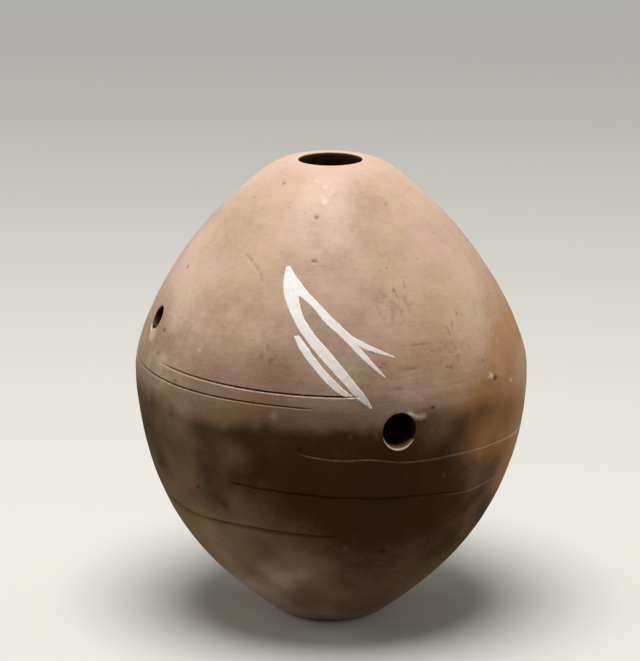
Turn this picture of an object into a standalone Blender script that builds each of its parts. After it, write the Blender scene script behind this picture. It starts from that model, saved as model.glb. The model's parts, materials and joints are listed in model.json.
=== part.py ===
# A xun: an egg-shaped vessel flute of fired clay, hand built around one closed air chamber.
# Metres, +Z up. The origin is the middle of the flat foot, the player's side faces -Y, and
# the side finger hole faces -X. Angles round the axis are in degrees from -Y towards +X.

from math import atan2, cos, hypot, pi, radians, sin

import bmesh
import bpy
import numpy as np
from mathutils import Matrix

# Outer form of the vessel
BELT_RADIUS = 0.0450
BOWL_HEIGHT = 0.0594
CROWN_HEIGHT = 0.0482
FOOT_RADIUS = 0.0124
FOOT_ROUND = 0.0007

# Handles of the two curves that make the outer form, from their ends
BELT_HANDLE_UP = 0.0091
BELT_HANDLE_DOWN = 0.0368
MOUTH_HANDLE_OUT = 0.0212
MOUTH_HANDLE_DOWN = 0.0131
FOOT_HANDLE_OUT = 0.0092
FOOT_HANDLE_UP = 0.0075

# Clay wall and flat base slab
WALL = 0.0055
SLAB_THICKNESS = 0.0050

# Blow hole and its rim
BLOW_HOLE_RADIUS = 0.0072
RIM_WIDTH = 0.0043
RIM_RISE = 0.0002
LIP_ROUND = 0.0010

# Finger holes: angle round the axis, height from the belt, bore, and rounding of the edge
FRONT_HOLE_ANGLE = 4.0
FRONT_HOLE_BELOW_BELT = 0.0040
FRONT_HOLE_RADIUS = 0.0039
SIDE_HOLE_ANGLE = -90.0
SIDE_HOLE_ABOVE_BELT = 0.0136
SIDE_HOLE_RADIUS = 0.0029
HOLE_LIP_ROUND = 0.0005

# Join between bowl and crown, filled by a coil pressed into a tapered groove
SEAM_ABOVE_BELT = 0.00345
SEAM_WIDTH = 0.0032
SEAM_ROOT_WIDTH = 0.0012
SEAM_DEPTH = 0.0028

# The hand-laid join is a little out of level: how far, its low side, and how fast that fades
SEAM_LEAN = 0.0015
SEAM_LOW_ANGLE = 47.0
LEAN_REACH = 0.0120

# Coil pressed into the corner of slab and wall, inside the chamber
CORNER_COIL_REACH = 0.0036
CORNER_COIL_BULGE = 0.0006

# Gap between pieces of clay that touch, so that each stays a solid of its own
CLAY_GAP = 0.0003

# White slip brushed over the crown: gap to the clay and thickness of the dried slip
SLIP_GAP = 0.0003
SLIP_THICKNESS = 0.0004

# Incised lines of the bowl: radius of the tool's tip and depth of its centre under the surface
TOOL_RADIUS = 0.00045
TOOL_SINK = 0.00005
TOOL_STEP = 0.0028

# Route of each incised line: angle round the axis, height above the belt
TOOL_LINES = {
    "upper": [(-24.0, -0.0091), (-10.0, -0.0107), (10.0, -0.0120), (34.0, -0.0124), (56.0, -0.0132)],
    "middle": [(-48.0, -0.0181), (-33.0, -0.0181), (-10.0, -0.0199), (23.0, -0.0221), (50.0, -0.0216)],
    "lower": [(-84.0, -0.0289), (-60.0, -0.0292), (-34.0, -0.0297), (-14.0, -0.0305)],
}

# Edges of the slip strokes, one after the other round each: angle round the axis, height above the belt
SLIP_STROKES = {
    "long": (
        [(-33.2, 0.0300), (-33.7, 0.0259), (-28.5, 0.0198), (-20.2, 0.0133), (-11.5, 0.0065), (-4.2, 0.0018)],
        [(-4.2, 0.0018), (-15.8, 0.0132), (-24.0, 0.0190), (-28.6, 0.0246), (-31.2, 0.0274), (-33.2, 0.0300)],
    ),
    "short": (
        [(-27.9, 0.0162), (-26.0, 0.0141), (-19.3, 0.0089), (-13.5, 0.0050), (-9.8, 0.0041)],
        [(-9.8, 0.0041), (-14.3, 0.0072), (-20.4, 0.0121), (-26.4, 0.0160)],
        [(-26.4, 0.0160), (-27.9, 0.0162)],
    ),
    "forked": (
        [(-31.2, 0.0282), (-26.6, 0.0267), (-15.8, 0.0204), (-6.9, 0.0159), (5.4, 0.0117)],
        [(5.4, 0.0117), (0.9, 0.0125), (-3.4, 0.0136), (-6.4, 0.0143)],
        [(-6.4, 0.0143), (-2.9, 0.0124), (-0.2, 0.0100), (1.2, 0.0070)],
        [(1.2, 0.0070), (-5.5, 0.0118), (-15.8, 0.0183), (-24.2, 0.0229), (-27.6, 0.0245), (-31.2, 0.0282)],
    ),
}
EDGE_STEP = 0.0022

# Faceting of the turned pieces and of the cutters
SHELL_SEGMENTS = 60
FLOOR_SEGMENTS = 48
HOLE_SEGMENTS = 32
OUTER_POINTS = 17
INNER_POINTS = 10
TOOL_SIDES = 6
CURVE_SAMPLES = 400
SHARP_ANGLE = 40.0

# Colours, linear
CROWN_CLAY = (0.42, 0.27, 0.18)
SEAM_CLAY = (0.30, 0.19, 0.12)
BOWL_CLAY = (0.075, 0.047, 0.030)
FOOT_CLAY = (0.11, 0.075, 0.050)
CORNER_CLAY = (0.20, 0.12, 0.07)
WHITE_SLIP = (0.80, 0.76, 0.72)
CLAY_ROUGHNESS = 0.62
SLIP_ROUGHNESS = 0.85

# Heights worked out from the sizes above
BELT_HEIGHT = BOWL_HEIGHT
TOP_HEIGHT = BOWL_HEIGHT + CROWN_HEIGHT
SEAM_HEIGHT = BELT_HEIGHT + SEAM_ABOVE_BELT


def bezier(start, first, second, end):
    """Points of a cubic curve, evenly spaced in its parameter."""
    t = np.linspace(0.0, 1.0, CURVE_SAMPLES)[:, None]
    points = [np.array(point) for point in (start, first, second, end)]
    weights = [(1 - t) ** 3, 3 * t * (1 - t) ** 2, 3 * t ** 2 * (1 - t), t ** 3]
    return sum(weight * point for weight, point in zip(weights, points))


def outer_curve():
    """The outer form as radius and height, from the foot over the belt to the rim of the mouth."""
    foot = (FOOT_RADIUS, 0.0)
    belt = (BELT_RADIUS, BELT_HEIGHT)
    rim = (BLOW_HOLE_RADIUS + RIM_WIDTH, TOP_HEIGHT - RIM_RISE)
    bowl = bezier(
        foot,
        (foot[0] + FOOT_HANDLE_OUT, foot[1] + FOOT_HANDLE_UP),
        (belt[0], belt[1] - BELT_HANDLE_DOWN),
        belt,
    )
    crown = bezier(
        belt,
        (belt[0], belt[1] + BELT_HANDLE_UP),
        (rim[0] + MOUTH_HANDLE_OUT, rim[1] - MOUTH_HANDLE_DOWN),
        rim,
    )
    return np.vstack([bowl, crown[1:]])


def curve_normals(curve):
    """Unit normals of a curve of radius and height that runs upwards, pointing outwards."""
    along = np.gradient(curve, axis=0)
    normals = np.column_stack([along[:, 1], -along[:, 0]])
    return normals / np.linalg.norm(normals, axis=1)[:, None]


OUTER = outer_curve()
OUTER_NORMALS = curve_normals(OUTER)
INNER = OUTER - WALL * OUTER_NORMALS


def radius_at(curve, height):
    """Radius of a curve at a height."""
    return float(np.interp(height, curve[:, 1], curve[:, 0]))


def stretch(curve, low, high, count):
    """Points on a curve between two heights, evenly spaced along its length."""
    lengths = np.concatenate([[0.0], np.cumsum(np.linalg.norm(np.diff(curve, axis=0), axis=1))])
    ends = np.interp([low, high], curve[:, 1], lengths)
    at = np.linspace(ends[0], ends[1], count)
    radii = np.interp(at, lengths, curve[:, 0])
    heights = np.interp(at, lengths, curve[:, 1])
    return [(float(r), float(z)) for r, z in zip(radii, heights)]


def quarter_round(centre, radius, start, steps):
    """Points of a quarter circle in the plane of radius and height, from an angle in degrees."""
    angles = [radians(start + 90.0 * step / steps) for step in range(steps + 1)]
    return [(centre[0] + radius * cos(a), centre[1] + radius * sin(a)) for a in angles]


def on_surface(angle, height, offset):
    """Point over the outer form at an angle and a height, raised along the surface normal."""
    radius = radius_at(OUTER, height)
    out = float(np.interp(height, OUTER[:, 1], OUTER_NORMALS[:, 0]))
    up = float(np.interp(height, OUTER[:, 1], OUTER_NORMALS[:, 1]))
    reach = radius + offset * out
    return (reach * sin(radians(angle)), -reach * cos(radians(angle)), height + offset * up)


def clay_material(name, colour, roughness):
    """Plain fired clay or slip with one colour."""
    material = bpy.data.materials.new(name)
    material.use_nodes = True
    shader = material.node_tree.nodes["Principled BSDF"]
    shader.inputs["Base Color"].default_value = (*colour, 1.0)
    shader.inputs["Roughness"].default_value = roughness
    shader.inputs["Metallic"].default_value = 0.0
    material.diffuse_color = (*colour, 1.0)
    return material


def lean_seam(bm):
    """Tip the join out of level. Points keep their depth under the outer form as they shift."""
    for vert in bm.verts:
        radius = hypot(vert.co.x, vert.co.y)
        angle = atan2(vert.co.x, -vert.co.y)
        height = vert.co.z
        beyond = abs(height - SEAM_HEIGHT) - SEAM_WIDTH
        near = 1.0 - min(max(beyond / LEAN_REACH, 0.0), 1.0)
        fade = near * near * (3.0 - 2.0 * near)
        moved = height - SEAM_LEAN * fade * cos(angle - radians(SEAM_LOW_ANGLE))
        radius += radius_at(OUTER, moved) - radius_at(OUTER, height)
        vert.co = (radius * sin(angle), -radius * cos(angle), moved)
    return bm


def add_object(name, bm, material=None):
    """Turn a bmesh into a named object with outward normals and smooth round faces."""
    bmesh.ops.recalc_face_normals(bm, faces=bm.faces)
    mesh = bpy.data.meshes.new(name)
    bm.to_mesh(mesh)
    bm.free()
    mesh.shade_smooth()
    mesh.set_sharp_from_angle(angle=radians(SHARP_ANGLE))
    thing = bpy.data.objects.new(name, mesh)
    bpy.context.scene.collection.objects.link(thing)
    if material:
        mesh.materials.append(material)
    return thing


def add_cutter(name, bm):
    """A solid that only cuts others."""
    cutter = add_object(name, bm)
    cutter.hide_render = True
    cutter.display_type = "WIRE"
    return cutter


def turned(profile, segments, closed=True):
    """Solid of revolution round Z from points of radius and height."""
    bm = bmesh.new()
    verts = [bm.verts.new((radius, 0.0, height)) for radius, height in profile]
    edges = [bm.edges.new(pair) for pair in zip(verts, verts[1:])]
    if closed:
        edges.append(bm.edges.new((verts[-1], verts[0])))
    bmesh.ops.spin(
        bm,
        geom=verts + edges,
        cent=(0.0, 0.0, 0.0),
        axis=(0.0, 0.0, 1.0),
        angle=2.0 * pi,
        steps=segments,
        use_merge=True,
    )
    bmesh.ops.remove_doubles(bm, verts=bm.verts, dist=1e-6)
    return bm


def cut(target, cutter):
    """Cut one solid out of another."""
    boolean = target.modifiers.new("cut_" + cutter.name, "BOOLEAN")
    boolean.operation = "DIFFERENCE"
    boolean.solver = "EXACT"
    boolean.object = cutter


def finger_hole_cutters(name, angle, height, radius):
    """A level bore through the wall, and a dish square to the surface that rounds its edge."""
    surface = radius_at(OUTER, height)
    reach = 2.0 * WALL
    low, high = surface - reach, surface + reach
    rod = [(0.0, low), (radius, low), (radius, high), (0.0, high)]
    bore = turned(rod, HOLE_SEGMENTS, closed=False)
    level = Matrix.Rotation(radians(90.0), 4, "X")
    turn = Matrix.Rotation(radians(angle), 4, "Z")
    lift = Matrix.Translation((0.0, 0.0, height))
    bmesh.ops.transform(bore, matrix=lift @ turn @ level, verts=bore.verts)

    lip = HOLE_LIP_ROUND
    flare = quarter_round((radius + lip, -lip), lip, 90.0, 3)
    mouth = radius + 2.0 * lip
    dish = turned(
        [(0.0, 2.0 * lip), (mouth, 2.0 * lip), (mouth, 0.0)] + flare + [(0.0, -lip)],
        HOLE_SEGMENTS,
        closed=False,
    )
    out = float(np.interp(height, OUTER[:, 1], OUTER_NORMALS[:, 0]))
    up = float(np.interp(height, OUTER[:, 1], OUTER_NORMALS[:, 1]))
    tilt = Matrix.Rotation(float(np.arctan2(out, up)), 4, "X")
    sag = surface - (surface ** 2 - radius ** 2) ** 0.5
    place = Matrix.Translation(on_surface(angle, height, -sag))
    bmesh.ops.transform(dish, matrix=place @ turn @ tilt, verts=dish.verts)
    return [add_cutter(name + "_bore", bore), add_cutter(name + "_lip", dish)]


def smooth_edge(points, step):
    """Even points along a curve through the given ones, its slopes taken from their neighbours."""
    knots = np.array([(BELT_RADIUS * radians(angle), height) for angle, height in points])
    gaps = np.linalg.norm(np.diff(knots, axis=0), axis=1)
    at = np.concatenate([[0.0], np.cumsum(gaps)])
    slopes = np.gradient(knots, at, axis=0)
    count = max(2, round(at[-1] / step))
    where = np.linspace(0.0, at[-1], count + 1)
    index = np.clip(np.searchsorted(at, where, side="right") - 1, 0, len(gaps) - 1)
    gap = gaps[index][:, None]
    t = (where - at[index])[:, None] / gap
    start = (1 + 2 * t) * (1 - t) ** 2 * knots[index] + t * (1 - t) ** 2 * gap * slopes[index]
    end = t ** 2 * (3 - 2 * t) * knots[index + 1] + t ** 2 * (t - 1) * gap * slopes[index + 1]
    return start + end


def tool_line_cutter(name, route):
    """A thin round tool drawn over the bowl: it sinks in at once, and lifts out at each end."""
    path = smooth_edge(route, TOOL_STEP)
    bm = bmesh.new()
    rings = []
    for index, (across, above) in enumerate(path):
        from_middle = abs(2 * index / (len(path) - 1) - 1)
        lift = 2.0 * TOOL_RADIUS * from_middle ** 8
        angle = float(np.degrees(across / BELT_RADIUS))
        ring = []
        for side in range(TOOL_SIDES):
            turn = 2.0 * pi * side / TOOL_SIDES
            offset = lift - TOOL_SINK + TOOL_RADIUS * cos(turn)
            height = BELT_HEIGHT + float(above) + TOOL_RADIUS * sin(turn)
            ring.append(bm.verts.new(on_surface(angle, height, offset)))
        rings.append(ring)
    for near, far in zip(rings, rings[1:]):
        for side in range(TOOL_SIDES):
            after = (side + 1) % TOOL_SIDES
            bm.faces.new((near[side], near[after], far[after], far[side]))
    bm.faces.new(rings[0])
    bm.faces.new(rings[-1])
    return add_cutter("tool_line_" + name, bm)


def build_crown(material):
    """Upper wall: groove for the seam coil, egg curve, rounded lip, bore and chamber side."""
    lip_centre = (BLOW_HOLE_RADIUS + LIP_ROUND, TOP_HEIGHT - LIP_ROUND)
    groove_outer = SEAM_HEIGHT + SEAM_WIDTH / 2 + CLAY_GAP
    groove_root = SEAM_HEIGHT + SEAM_ROOT_WIDTH / 2 + CLAY_GAP
    join = SEAM_HEIGHT + CLAY_GAP / 2
    root_radius = radius_at(OUTER, SEAM_HEIGHT) - SEAM_DEPTH - CLAY_GAP
    chamber_end, chamber_top = map(float, INNER[-1])
    inner_round = min(LIP_ROUND, (chamber_end - BLOW_HOLE_RADIUS) / 2)
    inner_centre = (BLOW_HOLE_RADIUS + inner_round, chamber_top + inner_round)
    profile = stretch(OUTER, groove_outer, float(OUTER[-1, 1]), OUTER_POINTS)
    profile += quarter_round(lip_centre, LIP_ROUND, 90.0, 4)
    profile += quarter_round(inner_centre, inner_round, 180.0, 2)
    profile += reversed(stretch(INNER, join, chamber_top, INNER_POINTS))
    profile += [(root_radius, join), (root_radius, groove_root)]
    crown = add_object("crown_shell", lean_seam(turned(profile, SHELL_SEGMENTS)), material)
    height = BELT_HEIGHT + SIDE_HOLE_ABOVE_BELT
    for cutter in finger_hole_cutters("side_hole", SIDE_HOLE_ANGLE, height, SIDE_HOLE_RADIUS):
        cut(crown, cutter)


def build_seam_band(material):
    """Coil of clay pressed into the groove between bowl and crown, flush with both."""
    half = SEAM_WIDTH / 2
    half_root = SEAM_ROOT_WIDTH / 2
    root_radius = radius_at(OUTER, SEAM_HEIGHT) - SEAM_DEPTH
    profile = stretch(OUTER, SEAM_HEIGHT - half, SEAM_HEIGHT + half, 4)
    profile += [(root_radius, SEAM_HEIGHT + half_root), (root_radius, SEAM_HEIGHT - half_root)]
    add_object("seam_band", lean_seam(turned(profile, SHELL_SEGMENTS)), material)


def build_bowl(material):
    """Lower wall: it stands on the slab, and carries the front hole and the incised lines."""
    groove_outer = SEAM_HEIGHT - SEAM_WIDTH / 2 - CLAY_GAP
    groove_root = SEAM_HEIGHT - SEAM_ROOT_WIDTH / 2 - CLAY_GAP
    join = SEAM_HEIGHT - CLAY_GAP / 2
    root_radius = radius_at(OUTER, SEAM_HEIGHT) - SEAM_DEPTH - CLAY_GAP
    bottom = SLAB_THICKNESS + CLAY_GAP
    profile = stretch(OUTER, bottom, groove_outer, OUTER_POINTS)
    profile += [(root_radius, groove_root), (root_radius, join)]
    profile += reversed(stretch(INNER, bottom, join, INNER_POINTS))
    bowl = add_object("bowl_shell", lean_seam(turned(profile, SHELL_SEGMENTS)), material)
    height = BELT_HEIGHT - FRONT_HOLE_BELOW_BELT
    for cutter in finger_hole_cutters("front_hole", FRONT_HOLE_ANGLE, height, FRONT_HOLE_RADIUS):
        cut(bowl, cutter)
    for name, route in TOOL_LINES.items():
        cut(bowl, tool_line_cutter(name, route))


def build_base_disc(material):
    """Flat slab that the wall was built on, with a worn edge round the foot."""
    low_edge = FOOT_RADIUS - FOOT_ROUND
    rounding = quarter_round((low_edge, FOOT_ROUND), FOOT_ROUND, -90.0, 3)
    profile = [(0.0, 0.0)] + rounding[:-1]
    profile += stretch(OUTER, FOOT_ROUND, SLAB_THICKNESS, 5)
    profile += [(0.0, SLAB_THICKNESS)]
    add_object("base_disc", turned(profile, FLOOR_SEGMENTS, closed=False), material)


def build_corner_coil(material):
    """Coil smeared into the corner between the slab and the wall, inside the chamber."""
    face = INNER - CLAY_GAP * OUTER_NORMALS
    floor = SLAB_THICKNESS + CLAY_GAP
    against_wall = stretch(face, floor, floor + CORNER_COIL_REACH, 4)
    start = np.array(against_wall[-1])
    end = np.array([against_wall[0][0] - CORNER_COIL_REACH, floor])
    chord = end - start
    square = np.array([chord[1], -chord[0]]) / np.linalg.norm(chord)
    steps = np.linspace(0.0, 1.0, 6)[1:-1]
    bead = [start + t * chord + square * CORNER_COIL_BULGE * sin(pi * t) for t in steps]
    profile = against_wall + [tuple(map(float, point)) for point in bead] + [tuple(map(float, end))]
    add_object("corner_coil", turned(profile, FLOOR_SEGMENTS), material)


def build_slip_stroke(name, edges, material):
    """A thin skin of dried slip whose outline runs along the given edges, laid over the clay."""
    outline = np.vstack([smooth_edge(edge, EDGE_STEP)[:-1] for edge in edges])
    bm = bmesh.new()
    face = bm.faces.new([bm.verts.new((x, y, 0.0)) for x, y in outline])
    grown = bmesh.ops.extrude_face_region(bm, geom=[face], use_keep_orig=True)["geom"]
    top = [item for item in grown if isinstance(item, bmesh.types.BMVert)]
    bmesh.ops.translate(bm, vec=(0.0, 0.0, SLIP_THICKNESS), verts=top)
    bmesh.ops.triangulate(bm, faces=bm.faces, ngon_method="BEAUTY")
    for vert in bm.verts:
        across, height, raised = vert.co
        angle = np.degrees(across / BELT_RADIUS)
        vert.co = on_surface(angle, BELT_HEIGHT + height, SLIP_GAP + raised)
    add_object(name, bm, material)


def build():
    for thing in list(bpy.data.objects):
        bpy.data.objects.remove(thing, do_unlink=True)
    build_crown(clay_material("crown_clay", CROWN_CLAY, CLAY_ROUGHNESS))
    build_seam_band(clay_material("seam_clay", SEAM_CLAY, CLAY_ROUGHNESS))
    build_bowl(clay_material("bowl_clay", BOWL_CLAY, CLAY_ROUGHNESS))
    build_base_disc(clay_material("foot_clay", FOOT_CLAY, CLAY_ROUGHNESS))
    build_corner_coil(clay_material("corner_clay", CORNER_CLAY, CLAY_ROUGHNESS))
    for name, edges in SLIP_STROKES.items():
        slip = clay_material(name + "_slip", WHITE_SLIP, SLIP_ROUGHNESS)
        build_slip_stroke(name + "_slip_stroke", edges, slip)


build()
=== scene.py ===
"""Looks of an egg-shaped vessel flute of fired clay, built round its packed construction model.

Metres, +Z up, the player's side towards -Y. Angles round the axis are in degrees from -Y towards +X.
Every clay wall is one closed surface: a grid of columns round the axis and rows along its outline,
with the finger hole opened in it. All of them share one form and one relief, so they meet flush.
"""

import itertools
import json
import math

import bpy
import numpy as np
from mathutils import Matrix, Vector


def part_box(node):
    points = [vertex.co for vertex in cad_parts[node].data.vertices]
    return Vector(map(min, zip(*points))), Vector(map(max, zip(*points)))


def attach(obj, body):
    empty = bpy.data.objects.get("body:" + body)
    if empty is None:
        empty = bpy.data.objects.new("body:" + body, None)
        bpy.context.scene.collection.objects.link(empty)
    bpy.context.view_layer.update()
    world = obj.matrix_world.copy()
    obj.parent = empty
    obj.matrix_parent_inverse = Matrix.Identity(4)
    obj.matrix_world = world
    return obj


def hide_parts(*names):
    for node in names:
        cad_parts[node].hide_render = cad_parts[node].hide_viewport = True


bl_info = {
    "name": "Clay vessel flute",
    "version": (1, 0, 0),
    "blender": (4, 5, 0),
    "location": "3D View > Sidebar > Flute",
    "description": "Builds the clay walls, the slip marks and the studio of a hand-built vessel flute",
    "category": "Object",
}

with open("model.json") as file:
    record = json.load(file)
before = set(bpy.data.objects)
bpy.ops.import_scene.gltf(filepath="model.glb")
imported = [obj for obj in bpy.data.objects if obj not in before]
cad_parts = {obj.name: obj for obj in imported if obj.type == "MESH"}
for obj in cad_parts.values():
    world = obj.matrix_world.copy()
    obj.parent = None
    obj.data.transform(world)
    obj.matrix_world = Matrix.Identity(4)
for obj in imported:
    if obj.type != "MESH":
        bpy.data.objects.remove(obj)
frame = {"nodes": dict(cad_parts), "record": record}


def opening_middle(name):
    """Angle round the axis and height of the middle of an opening that the record states."""
    found = [item for item in frame["record"]["physics"]["openings"] if item["name"] == name]
    low, high = np.array(found[0]["box_m"])
    across, back, height = (low + high) / 2
    return round(math.degrees(math.atan2(across, -back)), 1), round(float(height), 4)


CROWN_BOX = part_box("crown_shell")
BOWL_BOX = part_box("bowl_shell")
SLAB_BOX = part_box("base_disc")
FRONT_HOLE = opening_middle("front_finger_hole")
SIDE_HOLE = opening_middle("side_finger_hole")


def length(name, description, default):
    """A size in metres, for the panel."""
    return bpy.props.FloatProperty(
        name=name, description=description, default=default, precision=5, subtype="DISTANCE", unit="LENGTH"
    )


def turn(name, description, default):
    """An angle in degrees, for the panel."""
    return bpy.props.FloatProperty(name=name, description=description, default=default, precision=2)


def share(name, description, default):
    """A share from 0 to 1, for the panel."""
    return bpy.props.FloatProperty(
        name=name, description=description, default=default, min=0.0, max=1.0, subtype="FACTOR"
    )


def power(name, description, default):
    """The power of a lamp, for the panel."""
    return bpy.props.FloatProperty(name=name, description=description, default=default, min=0.0)


def colour(name, description, default):
    """A linear colour, for the panel."""
    return bpy.props.FloatVectorProperty(
        name=name, description=description, default=default, size=3, min=0.0, max=1.0, subtype="COLOR"
    )


class VesselForm(bpy.types.PropertyGroup):
    """Outer form, wall and mouth of the vessel"""

    belt_radius: length("Belt radius", "Widest radius of the vessel", round(BOWL_BOX[1].x, 4))
    belt_height: length("Belt height", "Height of the widest place", 0.0594)
    top_height: length("Top height", "Height of the rim of the mouth", round(CROWN_BOX[1].z, 4))
    foot_radius: length("Foot radius", "Radius of the flat foot", 0.0124)
    foot_round: length("Foot rounding", "Worn edge round the foot", 0.0007)
    slab_top: length("Slab top", "Thickness of the base slab", round(SLAB_BOX[1].z, 4))
    belt_handle_up: length("Belt handle up", "Curve handle of the crown at the belt", 0.0091)
    belt_handle_down: length("Belt handle down", "Curve handle of the bowl at the belt", 0.0368)
    mouth_handle_out: length("Mouth handle out", "Curve handle of the crown at the rim, outwards", 0.0212)
    mouth_handle_down: length("Mouth handle down", "Curve handle of the crown at the rim, downwards", 0.0131)
    foot_handle_out: length("Foot handle out", "Curve handle of the bowl at the foot, outwards", 0.0092)
    foot_handle_up: length("Foot handle up", "Curve handle of the bowl at the foot, upwards", 0.0075)
    wall: length("Wall", "Thickness of the clay wall", 0.0055)
    mouth_radius: length("Mouth radius", "Bore of the blow hole", 0.0072)
    rim_width: length("Rim width", "Width of the rim round the blow hole", 0.0043)
    rim_rise: length("Rim rise", "How far the rim rises towards the bore", 0.0002)
    rim_blend: length("Rim blend", "Depth over which the crown turns into the rim", 0.0026)
    lip_round: length("Lip rounding", "Rounding of the blow hole's edge", 0.0007)


class SeamSizes(bpy.types.PropertyGroup):
    """The coil that closes the join of bowl and crown"""

    height: length("Height", "Middle of the seam before it leans", 0.06285)
    width: length("Width", "Width of the seam coil at the surface", 0.0032)
    root_width: length("Root width", "Width of the seam coil at its root", 0.0012)
    depth: length("Depth", "How far the seam coil reaches into the wall", 0.0028)
    lean: length("Lean", "How far the seam is out of level", 0.0015)
    low_angle: turn("Low side", "Angle round the axis at which the seam is lowest", 47.0)
    pinch: share("Pinch", "Share of its lower half that the coil loses where it is narrowest", 0.27)
    pinch_angle: turn("Pinch angle", "Angle round the axis at which the coil is narrowest", -30.0)
    pinch_reach: turn("Pinch reach", "Degrees over which the coil widens again", 38.0)


class HoleSizes(bpy.types.PropertyGroup):
    """Finger holes"""

    front_angle: turn("Front hole angle", "Angle round the axis of the front hole", FRONT_HOLE[0])
    front_height: length("Front hole height", "Height of the middle of the front hole", FRONT_HOLE[1])
    front_radius: length("Front hole radius", "Bore of the front hole", 0.0039)
    side_angle: turn("Side hole angle", "Angle round the axis of the side hole", SIDE_HOLE[0])
    side_height: length("Side hole height", "Height of the middle of the side hole", SIDE_HOLE[1])
    side_radius: length("Side hole radius", "Bore of the side hole", 0.0025)
    edge_round: length("Edge rounding", "Rounding of the edge of the finger holes", 0.0005)
    burr: length("Burr", "Height of the clay pushed up round the front hole", 0.00018)


class SurfaceSizes(bpy.types.PropertyGroup):
    """Hand-made unevenness of the surface, and how fine the mesh is"""

    broad_lump: length("Broad lumps", "Height of the broad unevenness", 0.00012)
    small_lump: length("Small lumps", "Height of the small unevenness", 0.00005)
    grain_lump: length("Grain", "Height of the finest modelled unevenness", 0.000018)
    row_step: length("Row step", "Spacing of the mesh rows where nothing is incised", 0.00046)
    front_step: turn("Front step", "Degrees between mesh columns on the player's side", 0.46)
    flank_step: turn("Flank step", "Degrees between mesh columns beside it", 0.62)
    back_step: turn("Back step", "Degrees between mesh columns at the back", 1.7)


class SlipSizes(bpy.types.PropertyGroup):
    """White slip marks"""

    thickness: length("Thickness", "How far the dried slip stands over the clay", 0.00016)
    edge: length("Edge", "Width over which the slip thins out at its edges", 0.00018)
    rag: length("Rag", "How far the brushed edge wanders", 0.00006)
    spread: length("Spread", "How far the slip ran out beyond the drawn edges", 0.00013)
    wear: share("Wear", "Share of the slip that has worn thin at the ends of the strokes", 0.30)
    rosy_from: share("Rosy from", "Share of a stroke before the clay under it tints the slip", 0.15)
    rosy_over: share("Rosy over", "Share of a stroke over which that tint comes in", 0.45)


class ClayColours(bpy.types.PropertyGroup):
    """Colours of the fired clay and the slip"""

    buff: colour("Buff", "Clay of the crown", (0.625, 0.450, 0.332))
    blush: colour("Blush", "Pinker clay in the crown", (0.630, 0.438, 0.364))
    straw: colour("Straw", "Yellower clay in the crown", (0.580, 0.455, 0.300))
    brown: colour("Brown", "Half-smoked clay", (0.285, 0.179, 0.120))
    # Fire-blackened clay and painted shade: this colour also paints the shade in the chamber and the bores
    smoke_and_shade: colour("Smoke and shade", "Fully smoked clay", (0.046, 0.0245, 0.0080))
    ember: colour("Ember", "Reddish clay where the fire touched it", (0.315, 0.152, 0.062))
    glow: colour("Glow", "Pale clay that the fire reddened", (0.455, 0.240, 0.096))
    # Olive clay where ashes lay, and painted light: this colour also paints the lit lower bore wall just
    # inside the finger holes and the pale patches low on the bowl at the left
    ash_and_light: colour("Ash and light", "Olive grey clay where ash lay on it", (0.215, 0.158, 0.062))
    # Exposed clay and painted highlight: paler than the clay, this colour also paints the light caught by
    # the lower rounding of the finger holes, the mouth's lip, the ridge, the cut lines' under side and grains
    bare_and_highlight: colour("Bare and highlight", "Clay laid bare by a tool or by wear", (0.850, 0.680, 0.530))
    # Exposed fire-blackened clay and painted highlight: the lit under side of the cut lines on the dark bowl
    rubbed_and_lit: colour("Rubbed", "Smoked clay laid bare by a tool", (0.620, 0.435, 0.310))
    # Dirt and painted shade: the dark in cut lines, pits, scratches and rough dots, the painted shadow
    # under the ridge, and the painted shade of the chamber, the mouth's bore and the finger holes
    dirt_and_shade: colour("Dirt and shade", "Dirt in the bottom of lines and pits", (0.026, 0.010, 0.004))
    slip: colour("Slip", "White slip", (0.985, 0.972, 0.962))
    roughness: share("Roughness", "Roughness of the clay", 0.58)
    burnish: share("Burnish", "Sheen of the rubbed pale clay", 0.38)
    rosy: colour("Rosy slip", "Slip that the clay under it tints", (0.985, 0.895, 0.845))
    slip_roughness: share("Slip roughness", "Roughness of the slip", 0.85)


class StudioSettings(bpy.types.PropertyGroup):
    """Floor, light and camera"""

    floor: colour("Floor", "Colour of the floor", (0.74, 0.74, 0.72))
    floor_bounce: share("Floor bounce", "Share of the light that the floor throws back on the object", 0.36)
    background: share("Background", "Brightness of what the camera sees behind the floor", 0.90)
    ambient: share("Ambient", "Brightness of the room's light on the object", 0.16)
    key_power: power("Key", "Power of the soft light overhead, in watts", 5.8)
    left_power: power("Left", "Power of the soft light at the left, in watts", 1.8)
    right_power: power("Right", "Power of the soft light at the right, in watts", 1.6)
    camera_angle: turn("Camera angle", "Direction of the camera round the axis", -16.0)
    camera_distance: length("Camera distance", "Distance of the camera from the axis", 0.767)
    camera_height: length("Camera height", "Height of the camera over the floor", 0.27377)
    camera_tilt: turn("Camera tilt", "How far the camera looks down", 15.096)
    camera_yaw: turn("Camera yaw", "How far the camera looks to the left of the axis", -0.178)
    focal_length: bpy.props.FloatProperty(
        name="Focal length", description="Focal length on a 36 mm sensor, in millimetres", default=186.87
    )
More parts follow.
